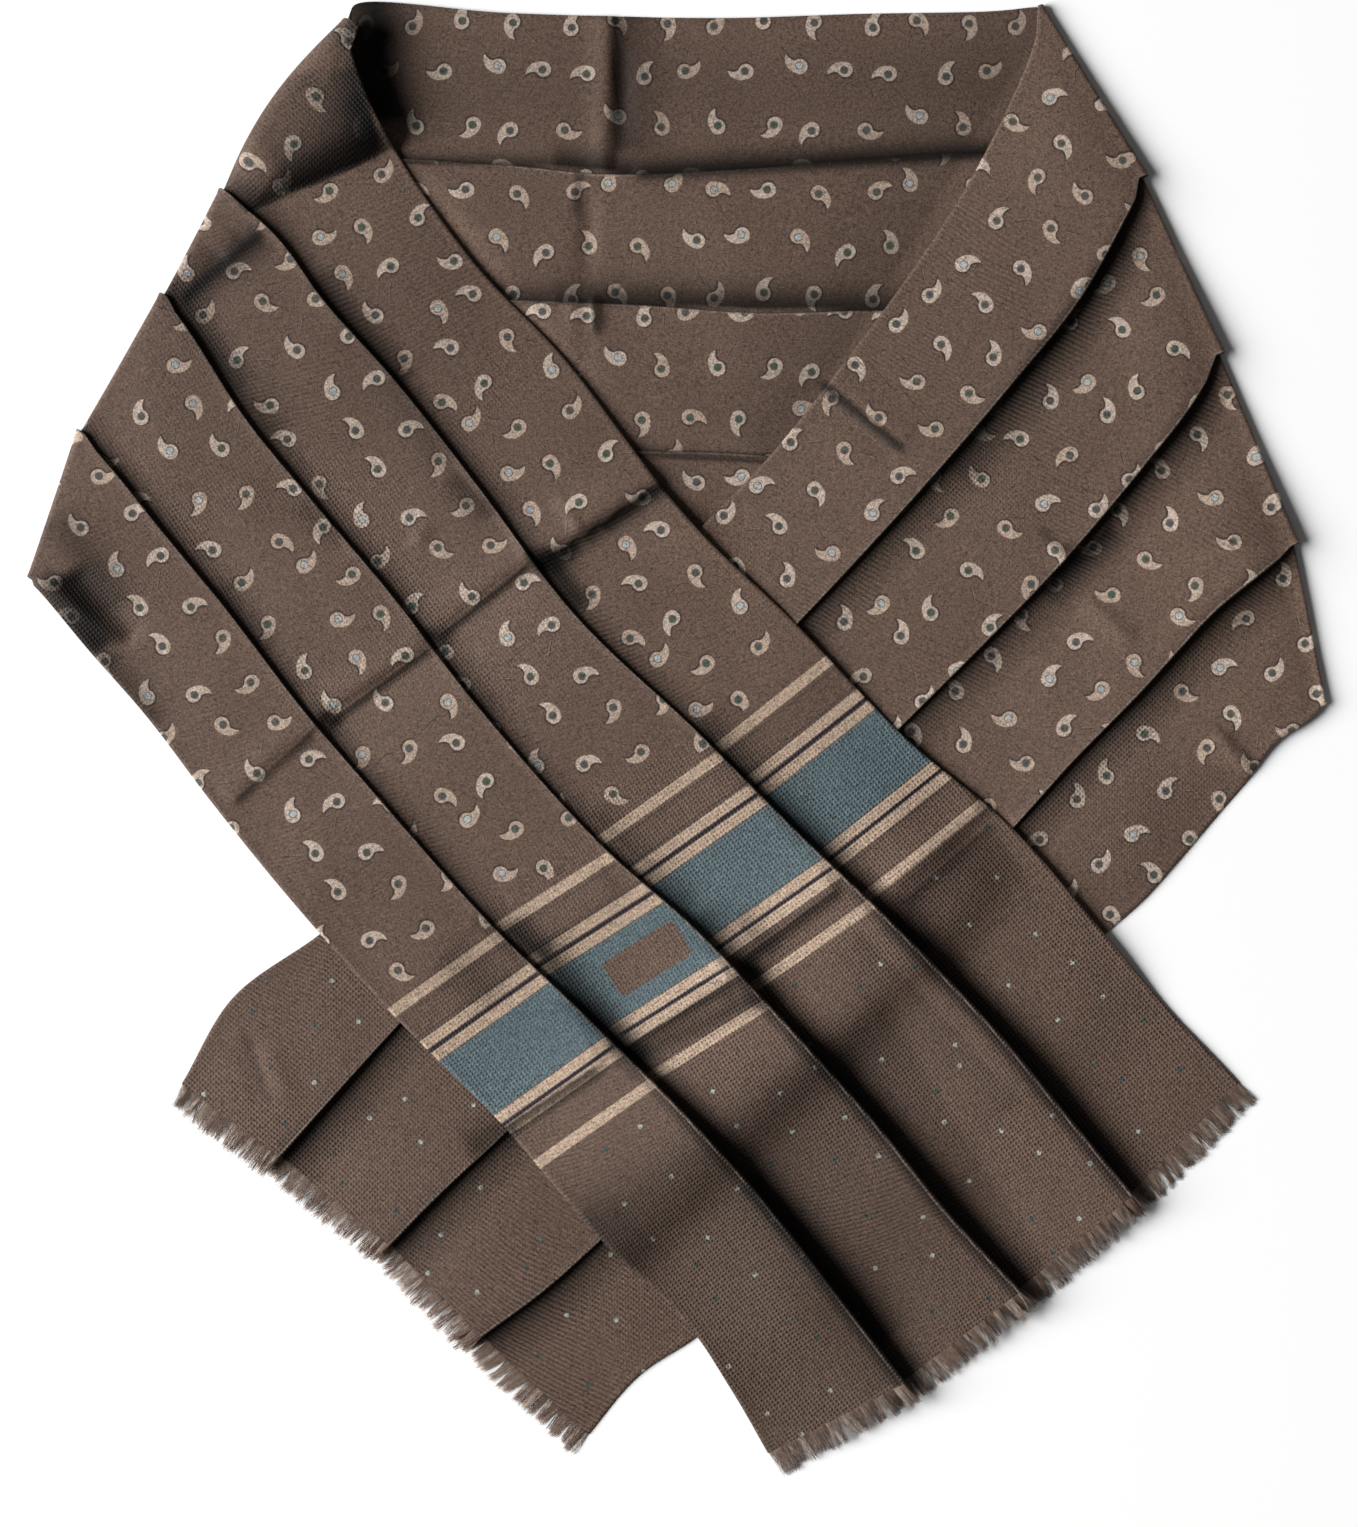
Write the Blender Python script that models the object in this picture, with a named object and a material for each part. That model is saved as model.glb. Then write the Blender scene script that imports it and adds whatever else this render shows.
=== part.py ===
"""A long silk scarf in three knife pleats, folded over at both ends and laid flat with its arms crossed.

All lengths are in millimetres until the meshes are made. X runs to the right, Y up the layout and Z
up from the surface that the scarf lies on. The layout's tables are measured from its middle.
"""

from collections import namedtuple
from math import cos, radians, sin
from random import Random

import bmesh
import bpy
import numpy as np
from mathutils import Vector

MM = 0.001

# The cloth as it is modelled: its wall, the air between two layers, and each pleat's hidden depth.
WALL = 1.0
GAP = 0.3
UNDERLAP = 7.0
LAYER = WALL + GAP
PLEAT_STACK = 3 * WALL + 2 * GAP

# How the stretches lie on each other: a stack's height with clearance, and the slopes beside it.
NECK_LIFT = PLEAT_STACK + GAP
CROSSING_LIFT = PLEAT_STACK + 2 * GAP
UNDER_SLOPE = 56.0
OVER_SLOPE = 62.0
SLOPE_START = 3.0

# The rounded turn where an arm is folded over: its usual relief, how far inside it the neck ends,
# its steps from the outline to the top, and below them (share of the reach, share of the height).
TURN_RELIEF = 2.3
NECK_INSET = 6.5
TURN_ANGLES = (90, 122, 152, 180)
TURN_FOOT = ((0.72, 0.0), (0.93, 0.45))
FIRST_STATION = 14.0

# How finely the solids are cut: along each stretch, across each strip's climb, and how many of
# those cells there are for each one on the level top beside the fold.
ARM_STEP = 24.0
NECK_STEP = 30.0
STRIP_CELLS = 3
CELLS_ON_TOP = 7

# The fringe: a strip parted from the cloth's edge, with one lock on every second cell.
FRINGE_STRIP = 2.5
FRINGE_CELLS = 22
LOCK_LENGTH = 11.0
LOCK_SPREAD = 1.0
LOCK_DROOP = 3.0
LOCK_TIP = 0.35
LOCK_FLOOR = 0.35
NARROWEST_LOCK = 1.5
FRINGE_SEED = 7

CLOTH_COLOR = (0.112, 0.078, 0.062, 1.0)
FRINGE_COLOR = (0.21, 0.15, 0.11, 1.0)

# The middle of the finished scarf's outline, in the layout's own millimetres.
LAYOUT_CENTRE = (-0.5, 0.9)

# One row for each section. The five lines run along the cloth, from the hem of the strip that lies
# on top, over the three pleat folds, to the hem of the lowest strip. lift raises the last hem, and
# rise opens the pleats.
Row = namedtuple("Row", "lead_hem fold_1 fold_2 fold_3 last_hem lift rise")

# From the fold-over at the right outline, down to the left, to the fringe.
UNDER_ARM = (
    Row((176, 345), (224, 266), (258, 182), (292, 92), (306, 17), 0, 0),
    Row((164, 317), (208, 245), (241, 157), (274, 78), (296, 5), 0, 0),
    Row((139, 265), (186, 206), (221, 131), (252, 60), (283, -5), 0, 0),
    Row((111, 221), (156, 168), (198, 103), (235, 42), (269, -23), 0, 0),
    Row((81, 180), (125, 129), (176, 78), (217, 22), (251, -44), 0, 0),
    Row((42, 131), (88, 88), (144, 45), (184, -12), (222, -76), 0, 0),
    Row((10, 98), (56, 54), (106, 7), (157, -42), (202, -90), 0, 0),
    Row((-49, 35), (-6, -8), (43, -57), (93, -106), (138, -154), 0, 0),
    Row((-107, -29), (-69, -71), (-20, -121), (29, -170), (74, -218), 0, 0),
    Row((-167, -93), (-131, -134), (-82, -186), (-35, -234), (9, -282), 0, 0),
    Row((-206, -123), (-159, -165), (-110, -212), (-63, -259), (-18, -301), 0, 1),
    Row((-226, -160), (-183, -193), (-132, -236), (-89, -279), (-40, -324), 0, 2),
)

# From the fold-over at the left outline, down to the right, to the fringe.
OVER_ARM = (
    Row((-307, 82), (-282, 145), (-243, 209), (-215, 258), (-153, 344), 8, 0),
    Row((-295, 71), (-266, 127), (-230, 192), (-192, 239), (-147, 309), 13, 0),
    Row((-274, 44), (-241, 96), (-205, 153), (-166, 205), (-132, 274), 9, 0),
    Row((-248, 13), (-213, 62), (-172, 112), (-133, 168), (-97, 224), 1, 0),
    Row((-218, -27), (-178, 16), (-135, 68), (-93, 117), (-53, 177), 0, 0),
    Row((-188, -65), (-143, -25), (-98, 20), (-52, 62), (-2, 110), 0, 0),
    Row((-131, -132), (-85, -90), (-36, -50), (10, 2), (57, 51), 0, 0),
    Row((-84, -179), (-42, -131), (8, -89), (57, -45), (106, 0), 0, 0),
    Row((-37, -233), (8, -180), (57, -140), (106, -92), (158, -43), 0, 2),
    Row((5, -278), (47, -224), (97, -185), (151, -139), (202, -90), 0, 4),
    Row((24, -308), (74, -259), (125, -220), (177, -170), (231, -123), 0, 6),
    Row((41, -334), (98, -292), (152, -250), (204, -204), (260, -157), 0, 7),
)

# The visible middle of the neck stretch, from left to right. Its lead hem is the lower one.
NECK_MIDDLE = (
    Row((-225, 77), (-206, 141), (-183, 207), (-164, 270), (-131, 343), 0, 0),
    Row((-131, 71), (-112, 138), (-93, 206), (-84, 271), (-84, 341), 0, 0),
    Row((-37, 65), (-27, 135), (-23, 205), (-30, 267), (-37, 339), 0, 0),
    Row((34, 59), (35, 133), (38, 202), (31, 272), (24, 338), 0, 0),
    Row((104, 51), (104, 124), (97, 201), (92, 275), (85, 340), 0, 0),
    Row((198, 37), (193, 110), (172, 196), (151, 276), (142, 341), 0, 0),
)


def clear_scene():
    for obj in list(bpy.data.objects):
        bpy.data.objects.remove(obj, do_unlink=True)


def cloth_material(name, color, roughness):
    material = bpy.data.materials.new(name)
    material.use_nodes = True
    shader = material.node_tree.nodes["Principled BSDF"]
    shader.inputs["Base Color"].default_value = color
    shader.inputs["Roughness"].default_value = roughness
    shader.inputs["Metallic"].default_value = 0.0
    material.diffuse_color = color
    return material


def row_lines(row):
    return np.array([row.lead_hem, row.fold_1, row.fold_2, row.fold_3, row.last_hem], float)


def outward_normal(lines, away_from):
    """Unit vector square to a section's chord, on the side away from the given point."""
    chord = lines[-1] - lines[0]
    normal = np.array((chord[1], -chord[0])) / np.linalg.norm(chord)
    return normal if normal @ (lines.mean(axis=0) - away_from) > 0 else -normal


def soft_step(value):
    """Rises from 0 to 1 with level ends and an even bend."""
    value = np.clip(value, 0.0, 1.0)
    return np.where(value < 0.5, 2 * value**2, 1 - 2 * (1 - value) ** 2)


class Stretch:
    """A stretch of the scarf: smooth lines through its rows, by distance along its middle."""

    def __init__(self, rows):
        lines = [row_lines(row) for row in rows]
        self.values = np.array([[*line.ravel(), row.lift, row.rise] for line, row in zip(lines, rows)])
        middles = np.array([line.mean(axis=0) for line in lines])
        steps = np.linalg.norm(np.diff(middles, axis=0), axis=1)
        self.stations = np.concatenate([[0.0], np.cumsum(steps)])
        self.length = self.stations[-1]

    def at(self, distance):
        """(lines, lift, rise) of the section there: a cubic whose slopes come from the rows beside."""
        gaps = np.diff(self.stations)[:, None]
        slopes = np.diff(self.values, axis=0) / gaps
        inner = (slopes[:-1] * gaps[1:] + slopes[1:] * gaps[:-1]) / (gaps[1:] + gaps[:-1])
        slopes = np.vstack([slopes[:1], inner, slopes[-1:]])
        i = int(np.clip(np.searchsorted(self.stations, distance) - 1, 0, len(gaps) - 1))
        gap = gaps[i, 0]
        t = (distance - self.stations[i]) / gap
        start = (2 * t**3 - 3 * t**2 + 1) * self.values[i] + (t**3 - 2 * t**2 + t) * gap * slopes[i]
        end = (3 * t**2 - 2 * t**3) * self.values[i + 1] + (t**3 - t**2) * gap * slopes[i + 1]
        found = start + end
        return found[:10].reshape(5, 2), found[10], found[11]

    def distances(self, first, step):
        count = max(2, round((self.length - first) / step) + 1)
        return np.linspace(first, self.length, count)


def pleat_midline(cuts, rise, cells):
    """The folded cloth's middle as (across, height), from the top strip's hem to the lowest hem.

    cuts are the five lines' places across the section. Each strip lies low at its near side and
    climbs onto the pleat at its far side, where the cloth turns back under it and forward again.
    """
    low = WALL / 2
    high = low + 2 * LAYER
    turn = LAYER / 2
    open_turn = turn + rise / 8
    line = []
    for strip, (near, far) in enumerate(zip(cuts, cuts[1:])):
        begin = near
        if strip > 0:
            tucked = near - UNDERLAP
            line += [(tucked, low + turn), (tucked + turn, low)]
            begin = near + WALL
        if strip == len(cuts) - 2:
            line += [(x, low) for x in np.linspace(begin, far, cells + 1)]
            break
        climbed = far - UNDERLAP - 2 * WALL
        for x in np.linspace(begin, climbed, cells + 1):
            up = float(soft_step((x - begin) / (climbed - begin)))
            line.append((x, low + (high - low + rise / 3) * up))
        top = np.linspace(0, 1, 1 + max(1, cells // CELLS_ON_TOP))[1:, None]
        crest = (far - open_turn, high + rise)
        line += [tuple(point) for point in line[-1] + (np.array(crest) - line[-1]) * top]
        line += [
            (far, high + rise - open_turn),
            (far - open_turn, high + rise - 2 * open_turn),
            (far - UNDERLAP + turn, low + LAYER),
        ]
    return np.array(line)


def wall_sides(line):
    """The upper and lower side of a wall of even thickness along a midline, mitred at its points."""
    along = np.diff(line, axis=0)
    along /= np.linalg.norm(along, axis=1)[:, None]
    before = np.vstack([along[:1], along])
    after = np.vstack([along, along[-1:]])
    bisector = before + after
    bisector /= np.linalg.norm(bisector, axis=1)[:, None]
    half_turn = np.sum(bisector * after, axis=1)[:, None]
    offset = np.stack([-bisector[:, 1], bisector[:, 0]], axis=1) * (WALL / 2) / half_turn
    return line + offset, line - offset


def across(lines):
    widths = np.linalg.norm(np.diff(lines, axis=0), axis=1)
    return np.concatenate([[0.0], np.cumsum(widths)])


def plan(lines, cuts, x):
    """Places in the layout of distances across a section, straight on beyond its hems."""
    strip = np.clip(np.searchsorted(cuts, x) - 1, 0, len(cuts) - 2)
    share = (x - cuts[strip]) / (cuts[strip + 1] - cuts[strip])
    return lines[strip] + (lines[strip + 1] - lines[strip]) * share[:, None]


def hem_lift(cuts, x, lift):
    return lift * soft_step((x - cuts[-2]) / (cuts[-1] - cuts[-2]))


def section_ring(section, base, cells):
    """(upper, lower) points of a section that lies flat on its base."""
    lines, lift, rise = section
    cuts = across(lines)
    sides = []
    for side in wall_sides(pleat_midline(cuts, rise, cells)):
        place = plan(lines, cuts, side[:, 0])
        height = side[:, 1] + base(place) + hem_lift(cuts, side[:, 0], lift)
        sides.append(np.column_stack([place, height]))
    return sides


def turn_rings(section, base, outward):
    """The fold-over, from the floor up its outer side and over onto the top."""
    lines, lift, rise = section
    cuts = across(lines)
    steps = [(share, None, height) for share, height in TURN_FOOT]
    steps += [(sin(radians(angle)), cos(radians(angle)), None) for angle in TURN_ANGLES]
    rings = []
    for share, fall, foot in steps:
        sides = []
        for side in wall_sides(pleat_midline(cuts, rise, STRIP_CELLS)):
            place = plan(lines, cuts, side[:, 0])
            radius = (base(place) + hem_lift(cuts, side[:, 0], lift)) / 2
            outer = radius + side[:, 1]
            reach = outer * share - radius - TURN_RELIEF
            height = radius * foot if fall is None else radius - outer * fall
            sides.append(np.column_stack([place + outward * reach[:, None], height]))
        rings.append(sides)
    return rings


def ring_points(ring):
    upper, lower = ring
    return np.vstack([upper, lower[::-1]])


def loft(rings, locks=None):
    """A closed mesh through the rings. locks maps a cell of the last ring to its lock's four tips."""
    mesh = bmesh.new()
    loops = [[mesh.verts.new(point * MM) for point in ring_points(ring)] for ring in rings]
    size = len(loops[0])
    for loop, following in zip(loops, loops[1:]):
        for i in range(size):
            j = (i + 1) % size
            mesh.faces.new((loop[i], loop[j], following[j], following[i]))
    for loop, tips in ((loops[0], {}), (loops[-1], locks or {})):
        for i in range(size // 2 - 1):
            corners = (loop[i], loop[i + 1], loop[size - 2 - i], loop[size - 1 - i])
            if i not in tips:
                mesh.faces.new(corners)
                continue
            ends = [mesh.verts.new(tip * MM) for tip in tips[i]]
            for k in range(4):
                m = (k + 1) % 4
                mesh.faces.new((corners[k], corners[m], ends[m], ends[k]))
            mesh.faces.new(ends)
    bmesh.ops.recalc_face_normals(mesh, faces=mesh.faces)
    return mesh


def add_object(name, mesh, material):
    bmesh.ops.translate(mesh, verts=mesh.verts, vec=Vector((*LAYOUT_CENTRE, 0.0)) * -MM)
    data = bpy.data.meshes.new(name)
    mesh.to_mesh(data)
    mesh.free()
    data.materials.append(material)
    obj = bpy.data.objects.new(name, data)
    bpy.context.scene.collection.objects.link(obj)
    return obj


def neck_rows():
    """The neck's rows, with an end row inside each fold-over, on the line where the arm turns."""
    left = row_lines(OVER_ARM[0])
    right = row_lines(UNDER_ARM[0])[::-1]
    left = left - outward_normal(left, np.zeros(2)) * NECK_INSET
    right = right - outward_normal(right, np.zeros(2)) * NECK_INSET
    ends = [Row(*(tuple(point) for point in lines), 0, 0) for lines in (left, right)]
    return (ends[0], *NECK_MIDDLE, ends[1])


def neck_cover(slope):
    """A function of place: 1 on the neck stretch and 0 beyond a slope below its lower hem."""
    hem = np.array([row.lead_hem for row in neck_rows()])

    def cover(place):
        below = np.interp(place[:, 0], hem[:, 0], hem[:, 1]) - place[:, 1]
        return soft_step(1 - (below - SLOPE_START) / slope)

    return cover


def under_arm_cover(slope):
    """A function of place: 1 on the straight part of the under arm and 0 beyond a slope beside it."""
    first, last = row_lines(UNDER_ARM[6]), row_lines(UNDER_ARM[9])
    along = (last - first).mean(axis=0)
    side = np.array((along[1], -along[0])) / np.linalg.norm(along)
    middle = (first[0] + last[-1]) / 2
    half_width = abs((first[-1] - first[0]) @ side + (last[-1] - last[0]) @ side) / 4

    def cover(place):
        beside = np.abs((place - middle) @ side) - half_width
        return soft_step(1 - (beside - SLOPE_START) / slope)

    return cover


def stretch_rings(rows, base, step, folded_over):
    """The sections of a whole stretch, which begins with a turn where it is folded over."""
    stretch = Stretch(rows)
    first, rings = 0.0, []
    if folded_over:
        outward = outward_normal(row_lines(rows[0]), np.zeros(2))
        first, rings = FIRST_STATION, turn_rings(stretch.at(0.0), base, outward)
    for distance in stretch.distances(first, step):
        rings.append(section_ring(stretch.at(distance), base, STRIP_CELLS))
    return rings


def fringe_mesh(rows, base, seed):
    """The strip parted from an arm's end, and the locks that hang from it."""
    chance = Random(seed)
    stretch = Stretch(rows)
    lines, lift, rise = stretch.at(stretch.length)
    onward = (lines - stretch.at(stretch.length - FIRST_STATION)[0]).mean(axis=0)
    onward /= np.linalg.norm(onward)
    rings = []
    for reach in (GAP, GAP + FRINGE_STRIP):
        rings.append(section_ring((lines + onward * reach, lift, rise), base, FRINGE_CELLS))
    upper, lower = rings[-1]
    cuts = across(lines)
    middle = pleat_midline(cuts, rise, FRINGE_CELLS)[:, 0]
    sideways = np.array((-onward[1], onward[0]))
    locks = {}
    for cell in range(0, len(upper) - 1, 2):
        wide = middle[cell + 1] - middle[cell] > NARROWEST_LOCK
        hidden = any(near - UNDERLAP - WALL < middle[cell] < near for near in cuts[1:-1])
        if not wide or hidden:
            continue
        root = np.array([upper[cell], upper[cell + 1], lower[cell + 1], lower[cell]])
        centre = root.mean(axis=0)
        tip = centre + (root - centre) * LOCK_TIP
        reach = LOCK_LENGTH * chance.uniform(0.85, 1.1)
        tip[:, :2] += onward * reach + sideways * chance.uniform(-LOCK_SPREAD, LOCK_SPREAD)
        droop = min(LOCK_DROOP, centre[2] - WALL)
        tip[:, 2] -= max(droop, 0.0)
        tip[:, 2] += max(LOCK_FLOOR - tip[:, 2].min(), 0.0)
        locks[cell] = tip
    return loft(rings, locks)


def build():
    clear_scene()
    cloth = cloth_material("silk_twill", CLOTH_COLOR, 0.55)
    fringe = cloth_material("silk_fringe", FRINGE_COLOR, 0.7)
    under_neck, over_neck = neck_cover(UNDER_SLOPE), neck_cover(OVER_SLOPE)
    crossing = under_arm_cover(OVER_SLOPE)

    def floor(place):
        return np.zeros(len(place))

    def under_base(place):
        return NECK_LIFT * under_neck(place)

    def over_base(place):
        return NECK_LIFT * over_neck(place) + CROSSING_LIFT * crossing(place)

    neck = stretch_rings(neck_rows(), floor, NECK_STEP, False)
    under = stretch_rings(UNDER_ARM, under_base, ARM_STEP, True)
    over = stretch_rings(OVER_ARM, over_base, ARM_STEP, True)
    add_object("neck_stretch", loft(neck), cloth)
    add_object("under_arm", loft(under), cloth)
    add_object("over_arm", loft(over), cloth)
    add_object("under_fringe", fringe_mesh(UNDER_ARM, under_base, FRINGE_SEED), fringe)
    add_object("over_fringe", fringe_mesh(OVER_ARM, over_base, FRINGE_SEED + 1), fringe)


build()
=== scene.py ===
"""The looks of a pleated silk scarf, laid flat with its arms crossed.

Run as a script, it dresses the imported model: one fine shell of cloth for each stretch, threads for
the fringes, a printed silk finish, and a stage. Lengths in the tables are millimetres, measured
from the middle of the layout, with X to the right and Y up the layout. The scene is in metres.
"""

from collections import namedtuple
from math import cos, pi, radians, sin
from random import Random

import bpy
import numpy as np
from bpy.props import FloatProperty, FloatVectorProperty, IntProperty, PointerProperty
from bpy.types import Operator, Panel, PropertyGroup
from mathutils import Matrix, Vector


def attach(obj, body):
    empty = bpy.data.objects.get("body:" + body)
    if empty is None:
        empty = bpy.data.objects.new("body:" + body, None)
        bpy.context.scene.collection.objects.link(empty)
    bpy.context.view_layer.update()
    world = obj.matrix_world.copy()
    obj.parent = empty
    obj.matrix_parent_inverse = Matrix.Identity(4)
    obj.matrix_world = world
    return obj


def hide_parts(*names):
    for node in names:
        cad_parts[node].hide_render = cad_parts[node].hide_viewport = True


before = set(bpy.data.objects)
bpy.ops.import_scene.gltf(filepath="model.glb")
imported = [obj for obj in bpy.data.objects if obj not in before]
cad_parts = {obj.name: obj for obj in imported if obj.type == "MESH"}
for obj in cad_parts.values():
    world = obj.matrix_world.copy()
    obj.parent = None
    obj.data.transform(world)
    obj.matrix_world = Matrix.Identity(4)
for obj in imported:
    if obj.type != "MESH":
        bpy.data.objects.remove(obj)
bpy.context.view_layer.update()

bl_info = {
    "name": "Pleated Silk Scarf",
    "version": (1, 0, 0),
    "blender": (4, 5, 0),
    "location": "3D View > Sidebar > Scarf",
    "description": "A long printed silk scarf in knife pleats, laid flat with its arms crossed",
    "category": "Add Mesh",
}

MM = 0.001
BODY = "root"

# The folded shape, as in the solids: a wall's thickness and the room that one layer takes, the
# hidden depth of a pleat, how far the cloth is lifted where it crosses the neck and the under arm,
# and over what slopes, and how far each fold-over and the neck's ends are drawn in.
WALL = 1.0
LAYER = 0.85
UNDERLAP = 7.0
NECK_LIFT = 2.9
CROSSING_LIFT = 3.7
UNDER_SLOPE = 56.0
OVER_SLOPE = 62.0
SLOPE_START = 3.0
TURN_RELIEF = 2.3
NECK_INSET = 4.5
LAYOUT_CENTRE = (-0.5, 0.9)

# The cloth itself: half its thickness, half that of the hem turned in along its long edges, and how
# far the shell settles into the layer below.
HALF_CLOTH = 0.24
HALF_HEM = 0.42
HEM_WIDTH = 2.4
SETTLE = 0.22

# The swell of each strip, how late an opened pleat rises, the height and width of the fold's
# pressed lip, and the slack of cloth laid by hand with its waves' lengths.
CROWN = 0.6
SWELL_SKEW = 1.1
SWELL_POWER = 1.3
RISE_POWER = 1.3
LIP_HEIGHT = 0.35
LIP_WIDTH = 1.5
SLACK = 0.55
WAVES = (33, 47, 29, 53)
RIPPLES = (13.5, 29, 19)

# Painted shade beside the folds: how dark each strip is painted beside the fold that lies over it,
# how far from it that reaches, and how much more of both there is for each millimetre that the
# pleats open.
Tuck = namedtuple("Tuck", "light reach darker wider")
NECK_FOLD_SHADE = Tuck(1.0, 1.0, 0.0, 0.0)
UNDER_FOLD_SHADE = Tuck(0.25, 17.0, 0.02, 1.8)
OVER_FOLD_SHADE = Tuck(0.38, 13.0, 0.01, 0.3)

# Where the pleats open further than this, their folds are painted darker before the edge, as painted
# shade on the side that rolls over.
ROLL_FROM = 2.0
ROLL_OVER = 4.5
ROLL_DARK = 0.8

# How finely the shells are cut. A place with no fold near it counts as this far away from one.
FACE_CELLS = 25
EDGE_CELLS = 7
EDGE_WIDTH = 9.0
TURN_CELLS = 4
FOOT_ANGLES = (-80, -66, -52, -38, -25, -12)
CURL_ANGLES = range(0, 91, 9)
ROLL_STEP = 1.7
ARM_STEP = 2.5
NECK_STEP = 2.6
FIRST_STATION = 13.0
PAST_END = 1.0
FAR_AWAY = 99.0
SHARPEST_TURN = 75.0

# One row for each section, from the hem of the strip that lies on top, over the three pleat folds,
# to the hem of the lowest strip. crown swells the strips and rise opens the pleats.
Row = namedtuple("Row", "lead_hem fold_1 fold_2 fold_3 last_hem crown rise")

UNDER_ARM = (
    Row((172.5, 345), (219.5, 264), (255.5, 181), (290.5, 91.5), (305.5, 17), 0.3, 1),
    Row((164, 317), (209.5, 243.5), (241, 157), (274, 78), (294, 7.5), 1, 4),
    Row((139, 265), (187.5, 204.5), (221, 131), (252, 60), (280, -2), 1, 4),
    Row((111, 221), (157, 166.5), (198, 103), (235, 42), (266.5, -20), 1, 3.5),
    Row((81, 180), (125, 129), (176, 78), (217, 22), (248, -41.5), 1, 3),
    Row((42, 131), (88, 88), (144, 45), (184, -12), (219.5, -74), 1, 2),
    Row((10, 98), (56, 54), (106, 7), (157, -42), (202, -90), 0, 1),
    Row((-49, 35), (-6, -8), (43, -57), (93, -106), (138, -154), 0, 0.8),
    Row((-107, -29), (-69, -71), (-20, -121), (29, -170), (74, -218), 0, 0.8),
    Row((-168, -92), (-131, -134), (-82, -186), (-35, -234), (8, -281), 0.2, 1),
    Row((-209, -122), (-159, -165), (-110, -212), (-63, -259), (-19.5, -299.5), 1, 3),
    Row((-232.5, -161.5), (-186, -195.5), (-134.5, -237), (-91.5, -280), (-42, -326), 1, 4),
)
CROSSED_ROWS = (6, 9)

OVER_ARM = (
    Row((-307, 77), (-282, 145), (-243, 209), (-215, 258), (-158, 337.5), 0.3, 0.3),
    Row((-298, 67.5), (-266, 127), (-230, 192), (-192, 239), (-149, 308.5), 1, 1.2),
    Row((-276.5, 41.5), (-241, 96), (-205, 153), (-166, 205), (-132, 274), 1, 1.2),
    Row((-250, 11), (-213, 62), (-172, 112), (-133, 168), (-97, 224), 1, 1),
    Row((-220, -28.5), (-178, 16), (-135, 68), (-93, 117), (-53, 177), 1, 1),
    Row((-189.5, -66), (-143, -25), (-98, 20), (-52, 62), (-2, 110), 1, 0.6),
    Row((-131, -132), (-85, -90), (-36, -50), (10, 2), (57, 51), 1, 0.5),
    Row((-84, -179), (-42, -131), (8, -89), (57, -45), (106, 0), 1, 3),
    Row((-37, -233), (8, -180), (57, -140), (106, -92), (157.5, -43.5), 1, 6.5),
    Row((6.5, -277), (47, -224), (97, -185), (151, -139), (199.5, -92), 1, 8.5),
    Row((26, -307), (74, -259), (125, -220), (177, -170), (228, -125.5), 1, 9),
    Row((42, -335), (105.5, -300.5), (159.5, -257.5), (212, -212.5), (262, -161), 1, 7),
)

NECK_MIDDLE = (
    Row((-225, 77), (-206, 141), (-183, 207), (-164, 270), (-150.5, 345), 0, 0),
    Row((-131, 71), (-112, 138), (-93, 206), (-84, 269), (-84, 340.5), 1, 0),
    Row((-37, 65), (-27, 135), (-23, 203.5), (-30, 264.5), (-37, 339), 1, 0.2),
    Row((34, 59), (35, 133), (38, 199.5), (31, 267), (24, 338), 1, 0.2),
    Row((104, 51), (104, 124), (97, 200.5), (92, 272), (85, 340), 1, 0.2),
    Row((198, 37), (193, 110), (172, 197), (151, 274), (142, 341), 0, 0),
)

# The loose roll at the over arm's top corner, above a hard crease from the first pleat to the hem:
# its height at the crease's two ends, its slope, how it rounds over, where it fades out beyond the
# crease's start and how far it bows out past the outline.
ROLL_CREASE = ((-199, 249.5), (-142, 273.5))
ROLL_HEIGHTS = (8.0, 12.0)
ROLL_SLOPE = 19.0
ROLL_ROUND = 2.4
ROLL_FADE = (16, 26)
ROLL_BULGE = 6.0

# The ridge of the over arm above the under arm's last pleat.
RIDGE = 6.0
RIDGE_START = 2.0
RIDGE_RISE = 100.0
RIDGE_FALL = 30.0


class Line:
    """A straight line with a direction, to measure places along it and beside it, to its right."""

    def __init__(self, start, end):
        self.start = np.array(start, float)
        way = np.array(end, float) - self.start
        self.length = np.linalg.norm(way)
        self.way = way / self.length
        self.right = np.array((self.way[1], -self.way[0]))

    def along(self, place):
        return (place - self.start) @ self.way

    def beside(self, place):
        return (place - self.start) @ self.right


# Creases laid along a line: how high (or deep, if negative), and how far each side falls
# away, on the left and on the right of the way from start to end.
Crease = namedtuple("Crease", "line height left right")
CREASE_MARGIN = 8.0


def creases(*rows):
    """Creases from rows of (start x, start y, end x, end y, height, left, right)."""
    return [Crease(Line(row[:2], row[2:4]), *row[4:]) for row in rows]


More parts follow.
